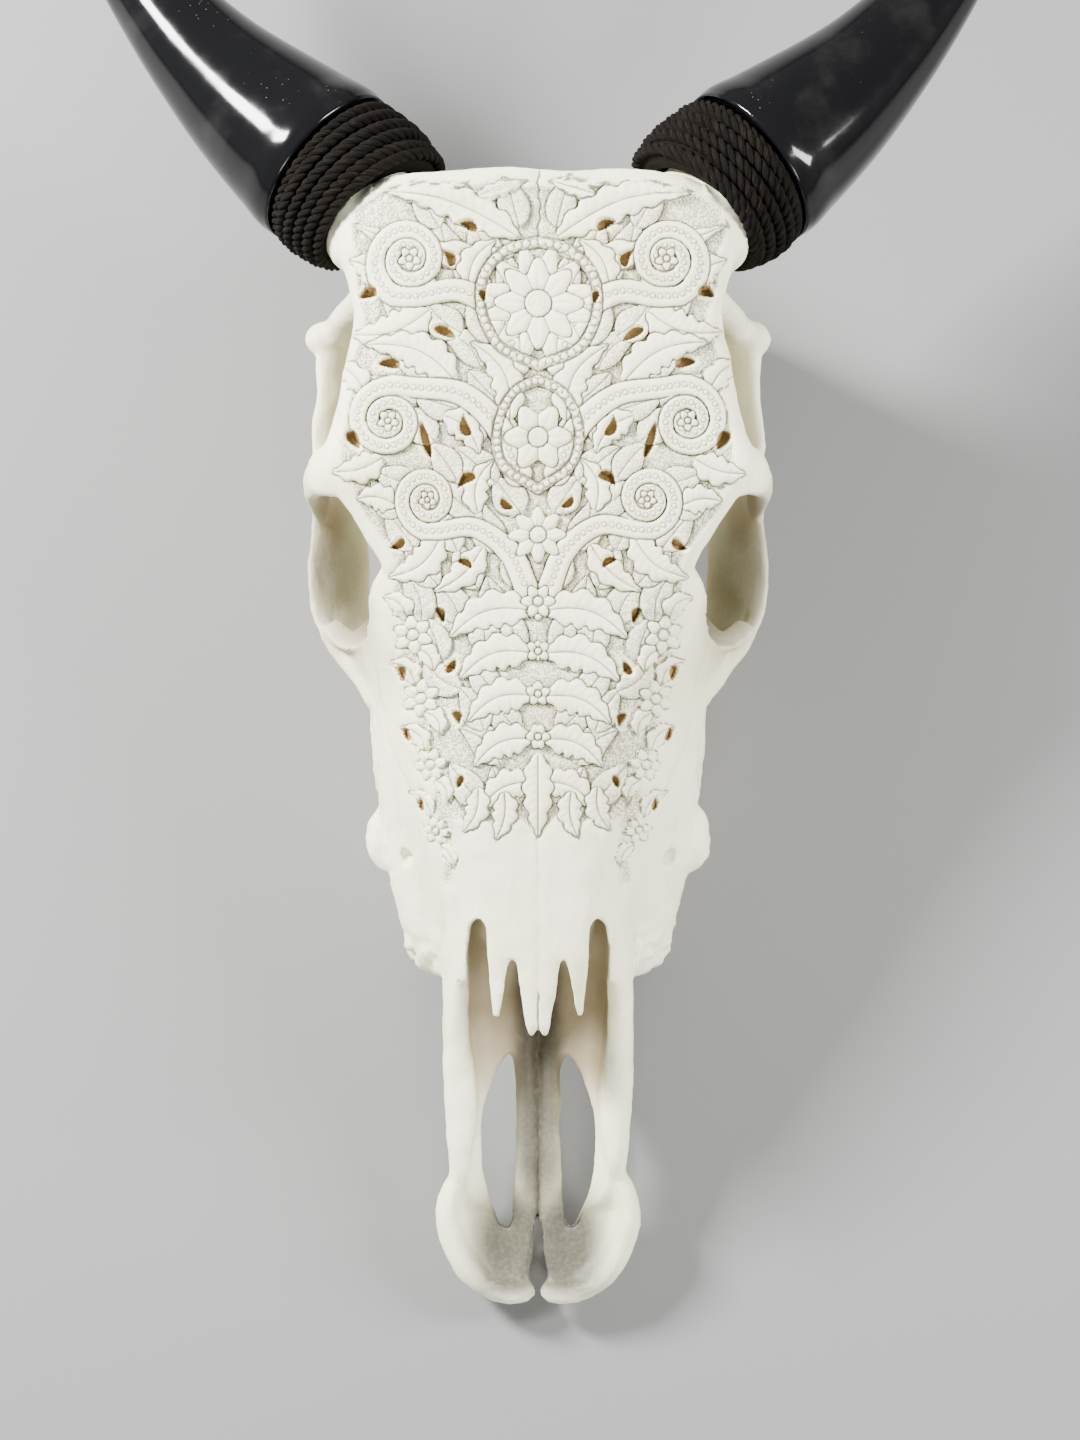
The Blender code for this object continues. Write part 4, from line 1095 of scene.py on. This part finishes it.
def bone():
    """The skull's bone, with its relief."""
    clay = collection_mesh("bone_clay", add_bone)
    hollows = collection_mesh("hollows_clay", add_hollows)
    sockets = collection_mesh("tooth_sockets", add_tooth_sockets)
    voxel(hollows, ROUGH_GRID)
    voxel(clay, ROUGH_GRID)
    for cutter in (hollows, sockets):
        cut = clay.modifiers.new("cut", "BOOLEAN")
        cut.operation = "DIFFERENCE"
        cut.object = cutter
        cut.solver = "EXACT"
    voxel(clay, FINE_GRID)
    soften = clay.modifiers.new("soften", "SMOOTH")
    soften.factor = 0.5
    soften.iterations = 3
    mesh = settled(clay)
    soften_shoulders(mesh)
    drop(hollows)
    drop(sockets)
    relief = carve_forehead()
    carve(mesh, relief)
    mesh.calc_loop_triangles()
    thin = clay.modifiers.new("fewer faces", "DECIMATE")
    thin.ratio = BONE_TRIANGLES / len(mesh.loop_triangles)
    mesh = settled(clay)
    mark_bone(mesh, relief)
    return clay


# Horns


def horn_axis(side_name):
    """Distance, point and direction along a horn, from its mouth to its tip, through the solid's knots."""
    turn, rise = curve_of(HORN_TURN), curve_of(HORN_RISE)
    side, splay = SIDES[side_name], HORN_SPLAY[side_name]
    count = round(HORN_LENGTH / HORN_KNOT_STEP)
    point = np.array(HORN_MOUTH) * (side, 1, 1)
    knots, points, ways = [], [], []
    for k in range(count + 1):
        s = HORN_LENGTH * k / count
        a = math.radians(turn(s) + splay[0] + (splay[1] - splay[0]) * s / HORN_LENGTH)
        b = math.radians(rise(s))
        way = np.array((side * math.sin(a) * math.cos(b), math.cos(a) * math.cos(b), math.sin(b)))
        knots.append(s)
        points.append(point)
        ways.append(way)
        point = point + way * HORN_LENGTH / count
    place, aim = curve_through(knots, points), curve_through(knots, ways)
    steps = round(HORN_LENGTH / HORN_STEP)
    stops = [HORN_LENGTH * k / steps for k in range(steps + 1)]
    return [(s, Vector(place(s)), Vector(aim(s)).normalized()) for s in stops]


def ring_about(point, way, radius, around=CORE_AROUND):
    across, up = about(way)
    return [point + (across * math.cos(t) + up * math.sin(t)) * radius for t in circle(around)]


def rings_behind_mouth(side_name, stops):
    _, mouth, way = horn_axis(side_name)[0]
    return [ring_about(mouth - way * back, way, radius) for back, radius in stops]


def horn_core(side_name):
    """The bony core, from inside the skull to its thinner end in the horn."""
    rings = rings_behind_mouth(side_name, [(CORE_START * share, CORE_RADIUS) for share in (1, 0.5, 0)])
    for s, point, way in horn_axis(side_name):
        if 0 < s <= CORE_LENGTH:
            rings.append(ring_about(point, way, CORE_RADIUS * (1 - CORE_TAPER * (s / CORE_LENGTH) ** 2)))
    return rings


def horn(side_name):
    """A polished sheath: its socket, a rounded rim, and an outside with the shallow swells of real horn."""
    radius = curve_of(HORN_RADIUS)
    line = horn_axis(side_name)
    stops = []
    for s, point, way in [stop for stop in line if stop[0] <= SOCKET_DEPTH][::-1]:
        share = s / SOCKET_DEPTH
        bore = SOCKET_RADIUS * (1 - SOCKET_TAPER * share**2) + SOCKET_FLARE * (1 - share) ** 3
        stops.append((point, way, bore))
    _, mouth, way = line[0]
    for angle in HORN_RIM_ANGLES:
        a = math.radians(angle)
        inwards = HORN_RIM * (1 - math.sin(a))
        stops.append((mouth + way * inwards, way, radius(0) - inwards))
    for s, point, way in line[1:]:
        swell = HORN_SWELL * math.sin(s / HORN_SWELL_WAVE) * math.exp(-s / HORN_SWELL_FADE)
        stops.append((point, way, radius(s) - HORN_INSET + swell))
    rings = [ring_about(*stop, HORN_AROUND) for stop in stops]
    obj = collection_mesh("horn", lambda bm: add_rings(bm, rings))
    return place_piece(obj, "polished_horn_" + side_name)


# Teeth


def tooth_places():
    """Place, length, width, side and number of each cheek tooth, standing on the floor."""
    front, rear = Vector(TOOTH_ROW_FRONT), Vector(TOOTH_ROW_REAR)
    way = (rear - front).normalized()
    gap = ((rear - front).length - sum(length for length, _ in TOOTH_SIZES)) / (len(TOOTH_SIZES) - 1)
    slant = math.atan2(-way.x, way.y)
    places = []
    for side_name, side in SIDES.items():
        reach = 0.0
        for number, (length, width) in enumerate(TOOTH_SIZES, 1):
            middle = front + way * (reach + length / 2)
            z = -(middle.y - GRIND_LINE_Y) * math.tan(REST_TILT)
            ground_y = middle.y * math.cos(REST_TILT) - z * math.sin(REST_TILT)
            place = Matrix.Translation((middle.x * side, ground_y, 0)) @ Matrix.Rotation(slant * side, 4, "Z")
            places.append((place, length - TOOTH_GAP, width - TOOTH_NARROWER, side_name, number))
            reach += length + gap
    return places


def add_tooth_sockets(bm):
    to_bone = RESTING.inverted() @ FLOOR_PLACE @ Matrix.Scale(MM, 4)
    for place, length, width, *_ in tooth_places():
        x, y = width / 2 + SOCKET_CLEARANCE, length / 2 + SOCKET_CLEARANCE
        quarter = ((x, y * 0.42), (x * 0.42, y))
        half = quarter + tuple((-a, b) for a, b in quarter[::-1])
        flat = half + tuple((a, -b) for a, b in half[::-1])
        rings = []
        for z in (-2.0, TOOTH_HEIGHT + SOCKET_CLEARANCE):
            rings.append([to_bone @ place @ Vector((a, b, z)) / MM for a, b in flat])
        add_rings(bm, rings)


def tooth_outline(angle, length, width, folds):
    """A tooth's plan: a rounded block with upright folds on its two long sides."""
    c, s = math.cos(angle), math.sin(angle)
    block = (abs(c) ** TOOTH_ROUNDNESS + abs(s) ** TOOTH_ROUNDNESS) ** (-1 / TOOTH_ROUNDNESS)
    fold = 1 - TOOTH_FOLD * (0.5 + 0.5 * math.cos(folds * 2 * angle)) * abs(c) ** 2
    return c * block * fold * width / 2, s * block * fold * length / 2


def grinding_height(x, y, length, width, lobes):
    """Height of the worn face over the floor: enamel ridges touch it, dentine and the pits lie higher."""
    height = DENTINE_HEIGHT
    for k in range(lobes):
        middle = (k + 0.5) / lobes * length - length / 2
        u, v = x / (width * 0.30), (y - middle) / (length / lobes * 0.36)
        far = math.hypot(u, v)
        crescent = far - 0.55 - 0.14 * math.sin(2 * math.atan2(v, u))
        height += PIT_HEIGHT * math.exp(-((crescent / 0.2) ** 2))
        height -= ENAMEL_DROP * math.exp(-(((far - 0.95) / 0.13) ** 2))
    edge = max(abs(x) / (width / 2), abs(y) / (length / 2))
    height -= 0.3 * max(0.0, min(1.0, (edge - 0.78) / 0.1))
    return max(height, LEAST_HEIGHT)


def tooth(place, length, width, number):
    """A ground-down cheek tooth, with crescent ridges of enamel round dark pits on its grinding face."""
    lobes = 1 if number <= ONE_LOBED_TEETH else 2
    outline = [tooth_outline(a, length, width, lobes) for a in circle(TOOTH_AROUND)]
    rings = [[(x * share, y * share, z) for x, y in outline] for z, share in TOOTH_SIDE]
    for share in TOOTH_FACE:
        flat = [(x * share, y * share) for x, y in outline]
        rings.append([(x, y, grinding_height(x, y, length, width, lobes)) for x, y in flat])
    obj = collection_mesh("tooth", lambda bm: add_rings(bm, rings))
    x, y, z = points_of(obj.data).T
    in_face = (z < 2.4) & (np.hypot(x / width, y / length) < 0.43)
    store(obj.data, "pit", np.clip((z - 0.05) / 0.9, 0, 1) * in_face)
    store(obj.data, "worn", z < DENTINE_HEIGHT)
    store(obj.data, "rise", z / TOOTH_HEIGHT)
    obj.data.transform(place)
    return obj


# Finishes


class Wire:
    """A socket that takes part in sums: each sum adds its node."""

    def __init__(self, graph, socket):
        self.graph = graph
        self.socket = socket

    def __add__(self, other):
        return self.graph.maths("ADD", self, other)

    def __mul__(self, other):
        return self.graph.maths("MULTIPLY", self, other)

    def __rsub__(self, other):
        return self.graph.maths("SUBTRACT", other, self)

    __radd__ = __add__
    __rmul__ = __mul__

    def clamped(self, start, end):
        """Rises smoothly from 0 at the start to 1 at the end."""
        return self.graph.node("ShaderNodeMapRange", {"interpolation_type": "SMOOTHSTEP"},
                               {"Value": self, "From Min": start, "From Max": end})


class Graph:
    """Nodes of one tree, added one at a time."""

    def __init__(self, tree):
        self.tree = tree

    def feed(self, socket, value):
        if isinstance(value, Wire):
            self.tree.links.new(value.socket, socket)
        else:
            socket.default_value = value

    def node(self, kind, settings=None, sockets=None, out=0):
        made = self.tree.nodes.new(kind)
        for name, value in (settings or {}).items():
            setattr(made, name, value)
        for name, value in (sockets or {}).items():
            self.feed(made.inputs[name], value)
        return Wire(self, made.outputs[out])

    def maths(self, operation, *terms):
        return self.node("ShaderNodeMath", {"operation": operation}, dict(enumerate(terms)))

    def stretched(self, place, scale):
        return self.node("ShaderNodeMapping", None, {"Vector": place, "Scale": scale})


class Finish(Graph):
    """A material, wired up from its one shader."""

    def __init__(self, name):
        self.material = bpy.data.materials.new(name)
        self.material.use_nodes = True
        super().__init__(self.material.node_tree)
        self.shader = self.tree.nodes["Principled BSDF"]
        self.place = self.node("ShaderNodeTexCoord", out=3)

    def field(self, name, out=2):
        return self.node("ShaderNodeAttribute", {"attribute_name": name}, out=out)

    def noise(self, scale, detail=4.0, rough=0.55, place=None):
        return self.node("ShaderNodeTexNoise", None, {"Vector": place or self.place, "Scale": scale,
                                                      "Detail": detail, "Roughness": rough})

    def streaks(self, scale, detail, stretch):
        return self.noise(scale, detail, place=self.stretched(self.place, stretch))

    def cells(self, scale):
        return self.node("ShaderNodeTexVoronoi", None, {"Vector": self.place, "Scale": scale})

    def mix(self, share, first, second):
        made = self.tree.nodes.new("ShaderNodeMix")
        made.data_type = "RGBA"
        self.feed(made.inputs[0], share)
        for index, colour in ((6, first), (7, second)):
            self.feed(made.inputs[index], colour if isinstance(colour, Wire) else (*colour, 1))
        return Wire(self, made.outputs[2])

    def layered(self, colour, layers):
        """A colour with others laid over it, each by its share."""
        for share, over in layers:
            colour = self.mix(share, colour, over)
        return colour

    def bump(self, height, strength, distance, under=None):
        sockets = {"Height": height, "Strength": strength, "Distance": distance}
        if under:
            sockets["Normal"] = under
        return self.node("ShaderNodeBump", None, sockets)

    def set(self, **values):
        for name, value in values.items():
            socket = self.shader.inputs[name.replace("_", " ").title().replace("Ior", "IOR")]
            self.feed(socket, (*value, 1) if isinstance(value, tuple) else value)
        return self.material


def bleached_bone():
    finish = Finish("bleached_bone")
    line, stipple, hole, unbleached_shade, soil_and_shade = map(finish.field, ("line", "stipple", "hole", "unbleached_shade", "grime_and_shade"))
    mottle = finish.noise(22.0, 6.0)
    grain = finish.streaks(70.0, 5.0, (3.0, 0.30, 1.0))
    speck = finish.noise(520.0, 3.0, 0.7)
    pricks = finish.cells(1050.0).clamped(0.58, 0.22)
    layers = ((mottle.clamped(0.40, 0.68), BONE_CREAM),
              (grain.clamped(0.52, 0.72) * 0.45, BONE_GRAIN),
              (speck.clamped(0.58, 0.74) * 0.35, BONE_SPECK),
              # Unbleached tan with painted shade in the hollows.
              (unbleached_shade * (mottle.clamped(0.25, 0.75) * 0.25 + 0.72), BONE_UNBLEACHED_SHADE),
              # Stippled ground: an even painted shade, deeper at the pricks.
              (stipple * (pricks * 0.34 + 0.16), GROUND_SHADE),
              # Soiling with painted shade in the muzzle's hollows, painted shade alone in the orbits.
              (soil_and_shade * (speck.clamped(0.30, 0.62) * 0.05 + 0.95), DARK_SOIL_AND_SHADE),
              # Cut lines: painted shade in the grooves, with the seams' own dark colour.
              (line.clamped(0.10, 0.62) * 0.86, CUT_SHADE),
              (hole.clamped(0.2, 0.9), HOLE_SHADE))
    normal = finish.bump(finish.noise(420.0, 3.0), 0.22, 0.0006)
    normal = finish.bump(grain, 0.32, 0.0009, normal)
    normal = finish.bump(stipple * pricks * -1.0, 1.0, 0.0006, normal)
    return finish.set(base_color=finish.layered(BONE_PALE, layers), roughness=mottle * 0.18 + 0.48,
                      normal=normal)


def black_horn():
    finish = Finish("black_horn")
    streak = finish.streaks(38.0, 5.0, (1.0, 1.0, 0.3))
    specks = finish.cells(420.0).clamped(0.10, 0.04) * finish.noise(30.0, 2.0).clamped(0.55, 0.7)
    layers = ((streak.clamped(0.5, 0.75), HORN_STREAK), (specks * 0.7, HORN_CHIP))
    rough = finish.noise(90.0, 4.0).clamped(0.4, 0.8) * 0.05 + 0.10
    normal = finish.bump(finish.noise(55.0, 2.0), 0.05, 0.0015)
    return finish.set(base_color=finish.layered(HORN_BLACK, layers), roughness=rough + specks * 0.3,
                      normal=normal, specular_ior_level=0.26)


def brown_cord():
    finish = Finish("brown_cord")
    along_strand = finish.stretched(finish.field("grain", out=1), (7.0, 7.0, 130.0))
    fibres = finish.noise(1.0, 5.0, 0.65, along_strand)
    tuft = finish.noise(160.0, 4.0)
    layers = ((fibres.clamped(0.46, 0.70), CORD_FIBRE), (tuft.clamped(0.62, 0.80) * 0.35, CORD_TUFT))
    return finish.set(base_color=finish.layered(CORD_DARK, layers), roughness=0.93,
                      normal=finish.bump(fibres, 0.9, 0.0006), specular_ior_level=0.12)


def old_tooth():
    finish = Finish("old_tooth")
    pit, worn, rise = map(finish.field, ("pit", "worn", "rise"))
    mottle = finish.noise(130.0, 5.0)
    streak = finish.streaks(200.0, 4.0, (1.0, 1.0, 0.15))
    layers = ((mottle.clamped(0.35, 0.7), TOOTH_TAN),
              (streak.clamped(0.5, 0.7) * (1.0 - worn) * 0.6, TOOTH_STREAK),
              (rise.clamped(0.35, 0.8) * 0.5, TOOTH_ROOT),
              (pit.clamped(0.2, 0.8) * 0.85, TOOTH_PIT))
    return finish.set(base_color=finish.layered(TOOTH_IVORY, layers), roughness=0.26 + mottle * 0.2,
                      normal=finish.bump(streak, 0.3, 0.0006))


def pale_floor():
    return Finish("pale_floor").set(base_color=FLOOR_GREY, roughness=0.85)


# Cord bindings, wound from a three-strand cord


class CordGraph(Graph):
    """Nodes that make the mesh of a cord."""

    def vectors(self, operation, first, *second):
        return self.node("ShaderNodeVectorMath", {"operation": operation}, dict(enumerate((first, *second))))

    def scaled(self, vector, scale):
        return self.node("ShaderNodeVectorMath", {"operation": "SCALE"}, {0: vector, "Scale": scale})

    def stored(self, geometry, name, value, kind):
        """The geometry with a value kept at its points under a name."""
        return self.node("GeometryNodeStoreNamedAttribute", {"data_type": kind, "domain": "POINT"},
                         {"Geometry": geometry, "Name": name, "Value": value})

    def kept(self, name, kind):
        return self.node("GeometryNodeInputNamedAttribute", {"data_type": kind}, {"Name": name})


def strand_tree():
    """Nodes that twist three strands about each other along a path. Each point keeps its place on its
    strand's rim and along the path, for the fibres."""
    tree = bpy.data.node_groups.new("twisted_cord", "GeometryNodeTree")
    for name, way, kind in (("Path", "INPUT", "Geometry"), ("Material", "INPUT", "Material"),
                            ("Cord", "OUTPUT", "Geometry")):
        tree.interface.new_socket(name, in_out=way, socket_type="NodeSocket" + kind)
    graph = CordGraph(tree)
    entry = tree.nodes.new("NodeGroupInput")
    path, material = Wire(graph, entry.outputs[0]), Wire(graph, entry.outputs[1])
    even = graph.node("GeometryNodeResampleCurve", {"mode": "LENGTH"}, {"Curve": path, "Length": STRAND_STEP})
    run = graph.node("GeometryNodeSplineParameter", out=1)
    normal = graph.node("GeometryNodeInputNormal")
    side = graph.vectors("CROSS_PRODUCT", graph.node("GeometryNodeInputTangent"), normal)
    section = graph.node("GeometryNodeCurvePrimitiveCircle", None,
                         {"Resolution": STRAND_AROUND, "Radius": STRAND_RADIUS})
    rim = graph.vectors("NORMALIZE", graph.node("GeometryNodeInputPosition"))
    profile = graph.stored(section, "rim", rim, "FLOAT_VECTOR")
    join = tree.nodes.new("GeometryNodeJoinGeometry")
    for k in range(STRANDS):
        angle = graph.maths("DIVIDE", run, STRAND_PITCH) * (2 * math.pi) + k * 2 * math.pi / STRANDS
        shift = graph.vectors("ADD", graph.scaled(normal, graph.maths("COSINE", angle) * LAY_RADIUS),
                              graph.scaled(side, graph.maths("SINE", angle) * LAY_RADIUS))
        moved = graph.node("GeometryNodeSetPosition", None, {"Geometry": even, "Offset": shift})
        strand = graph.stored(moved, "run", run, "FLOAT")
        tube = graph.node("GeometryNodeCurveToMesh", None,
                          {"Curve": strand, "Profile Curve": profile, "Fill Caps": True})
        tree.links.new(tube.socket, join.inputs[0])
    twist = graph.kept("run", "FLOAT")
    turned = graph.node("ShaderNodeVectorRotate", {"rotation_type": "Z_AXIS"},
                        {"Vector": graph.kept("rim", "FLOAT_VECTOR"), "Angle": twist * FIBRE_TWIST})
    grain = graph.vectors("ADD", turned, graph.node("ShaderNodeCombineXYZ", None, {"Z": twist * MM}))
    marked = graph.stored(Wire(graph, join.outputs[0]), "grain", grain, "FLOAT_VECTOR")
    real = graph.node("GeometryNodeRealizeInstances", None, {"Geometry": marked})
    dressed = graph.node("GeometryNodeSetMaterial", None, {"Geometry": real, "Material": material})
    tree.links.new(dressed.socket, tree.nodes.new("NodeGroupOutput").inputs[0])
    return tree


def wound_point(side_name, back, angle, radius):
    """A point of the binding. The turns spread on the poll's side, where the bone begins further back."""
    _, mouth, way = horn_axis(side_name)[0]
    across, up = about(way)
    poll_side = 0.5 - 0.5 * SIDES[side_name] * math.cos(angle)
    back *= 1 + CORD_LEAN * poll_side**1.5
    return mouth - way * back + (across * math.cos(angle) + up * math.sin(angle)) * radius


def cord_path(side_name):
    """The cord's middle line, in millimetres: a flat turn at each end of the drum and a helix between."""
    drum = curve_of(ROPE_DRUM)
    points = []
    start = ROPE_GAP + CORD_THICK / 2
    steps = round(CORD_TURNS * CORD_STEPS)
    for k in range(steps + 1):
        turned = CORD_TURNS * k / steps
        share = min(max((turned - CORD_FLAT_TURN) / (CORD_TURNS - 2 * CORD_FLAT_TURN), 0), 1)
        back = start + (CORD_END - start) * share
        radius = drum(back) - CORD_THICK / 2
        angle = 2 * math.pi * turned * SIDES[side_name]
        radius += CORD_RISE * math.sin(1.7 * angle + 1) * math.sin(0.37 * angle)
        back += CORD_DRIFT * math.sin(1.3 * angle) * (0.1 < share < 0.9)
        points.append(wound_point(side_name, back, angle, radius))
    return points


def wound_cord(side_name, tree, material):
    """The cord of one binding, made from its path by the strand tree."""
    curve = bpy.data.curves.new("cord_path", "CURVE")
    curve.dimensions = "3D"
    points = cord_path(side_name)
    spline = curve.splines.new("POLY")
    spline.points.add(len(points) - 1)
    for knot, point in zip(spline.points, points):
        knot.co = (*point, 1)
    path = linked("cord_path", curve)
    wound = path.modifiers.new("cord", "NODES")
    wound.node_group = tree
    wound[tree.interface.items_tree["Material"].identifier] = material
    graph = bpy.context.evaluated_depsgraph_get()
    mesh = bpy.data.meshes.new_from_object(path.evaluated_get(graph))
    bpy.data.objects.remove(path)
    bpy.data.curves.remove(curve)
    return linked("cord", mesh)


def filling(side_name, material):
    """The plain body of the drum that the cord is wound on."""
    drum = curve_of(ROPE_DRUM)
    stops = [(CORD_END, ROPE_BORE), (ROPE_GAP, ROPE_BORE)]
    for k in range(FILLING_RINGS + 1):
        back = ROPE_GAP + (CORD_END - ROPE_GAP) * k / FILLING_RINGS
        stops.append((back, drum(back) - FILLING_DEPTH))
    turns = circle(CORE_AROUND)
    rings = [[wound_point(side_name, back, angle, radius) for angle in turns] for back, radius in stops]
    fill = collection_mesh("filling", lambda bm: add_rings(bm, rings, endless=True))
    fill.data.materials.append(material)
    return fill


def binding(side_name, tree, material):
    """One wound binding: the cord over its filling, as a single piece."""
    cord = wound_cord(side_name, tree, material)
    bpy.ops.object.select_all(action="DESELECT")
    for obj in (cord, filling(side_name, material)):
        obj.select_set(True)
    bpy.context.view_layer.objects.active = cord
    bpy.ops.object.join()
    return place_piece(cord, "cord_binding_" + side_name)


# Putting it together


def finished(piece, material, slot, *nodes):
    """A piece with its material, standing for its nodes."""
    piece.data.materials.clear()
    piece.data.materials.append(material)
    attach(piece, "root")
    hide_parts(*nodes)


def build_skull():
    finished(place_piece(bone(), "carved_bone"), bleached_bone(), "bone", "skull")
    black, brown, enamel = black_horn(), brown_cord(), old_tooth()
    tree = strand_tree()
    for side_name in SIDES:
        finished(horn(side_name), black, "horn", "horn_" + side_name)
        finished(binding(side_name, tree, brown), brown, "rope", "rope_" + side_name)
    for place, length, width, side_name, number in tooth_places():
        name = "%s_%d" % (side_name, number)
        piece = place_piece(tooth(place, length, width, number), "ground_tooth_" + name, FLOOR_PLACE)
        finished(piece, enamel, "tooth", "cheek_tooth_" + name)


def add_square(bm):
    bmesh.ops.create_grid(bm, x_segments=1, y_segments=1, size=FLOOR_HALF)


def add_floor():
    floor = collection_mesh("floor", add_square)
    floor.data.materials.append(pale_floor())


def add_camera():
    """The photograph's view: square onto the forehead."""
    data = bpy.data.cameras.new("camera")
    data.sensor_fit = "VERTICAL"
    data.sensor_height = SENSOR
    data.lens = SENSOR * CAMERA_DISTANCE / (PHOTO_SIZE[1] * PHOTO_SCALE)
    camera = linked("camera", data)
    off = (PHOTO_SIZE[0] / 2 - PHOTO_MIDDLE_X) * PHOTO_SCALE
    camera.matrix_world = RESTING @ Matrix.Translation((off * MM, 0, CAMERA_DISTANCE * MM))
    bpy.context.scene.camera = camera


def add_light(name, place, aim, size, power):
    """A softbox, placed in the forehead's plane in millimetres."""
    data = bpy.data.lights.new(name, "AREA")
    data.shape = "RECTANGLE"
    data.size, data.size_y = size[0] * MM, size[1] * MM
    data.energy = power
    spot = RESTING @ (Vector(place) * MM)
    way = RESTING @ (Vector(aim) * MM) - spot
    turn = way.to_track_quat("-Z", "Y").to_matrix().to_4x4()
    linked(name, data).matrix_world = Matrix.Translation(spot) @ turn


def light_studio():
    world = bpy.data.worlds.new("studio")
    bpy.context.scene.world = world
    world.use_nodes = True
    backdrop = world.node_tree.nodes["Background"]
    backdrop.inputs[0].default_value = (*SKY_COLOUR, 1)
    backdrop.inputs[1].default_value = SKY_STRENGTH
    for name, settings in LIGHTS.items():
        add_light(name, *settings)


build_skull()
add_floor()
add_camera()
light_studio()
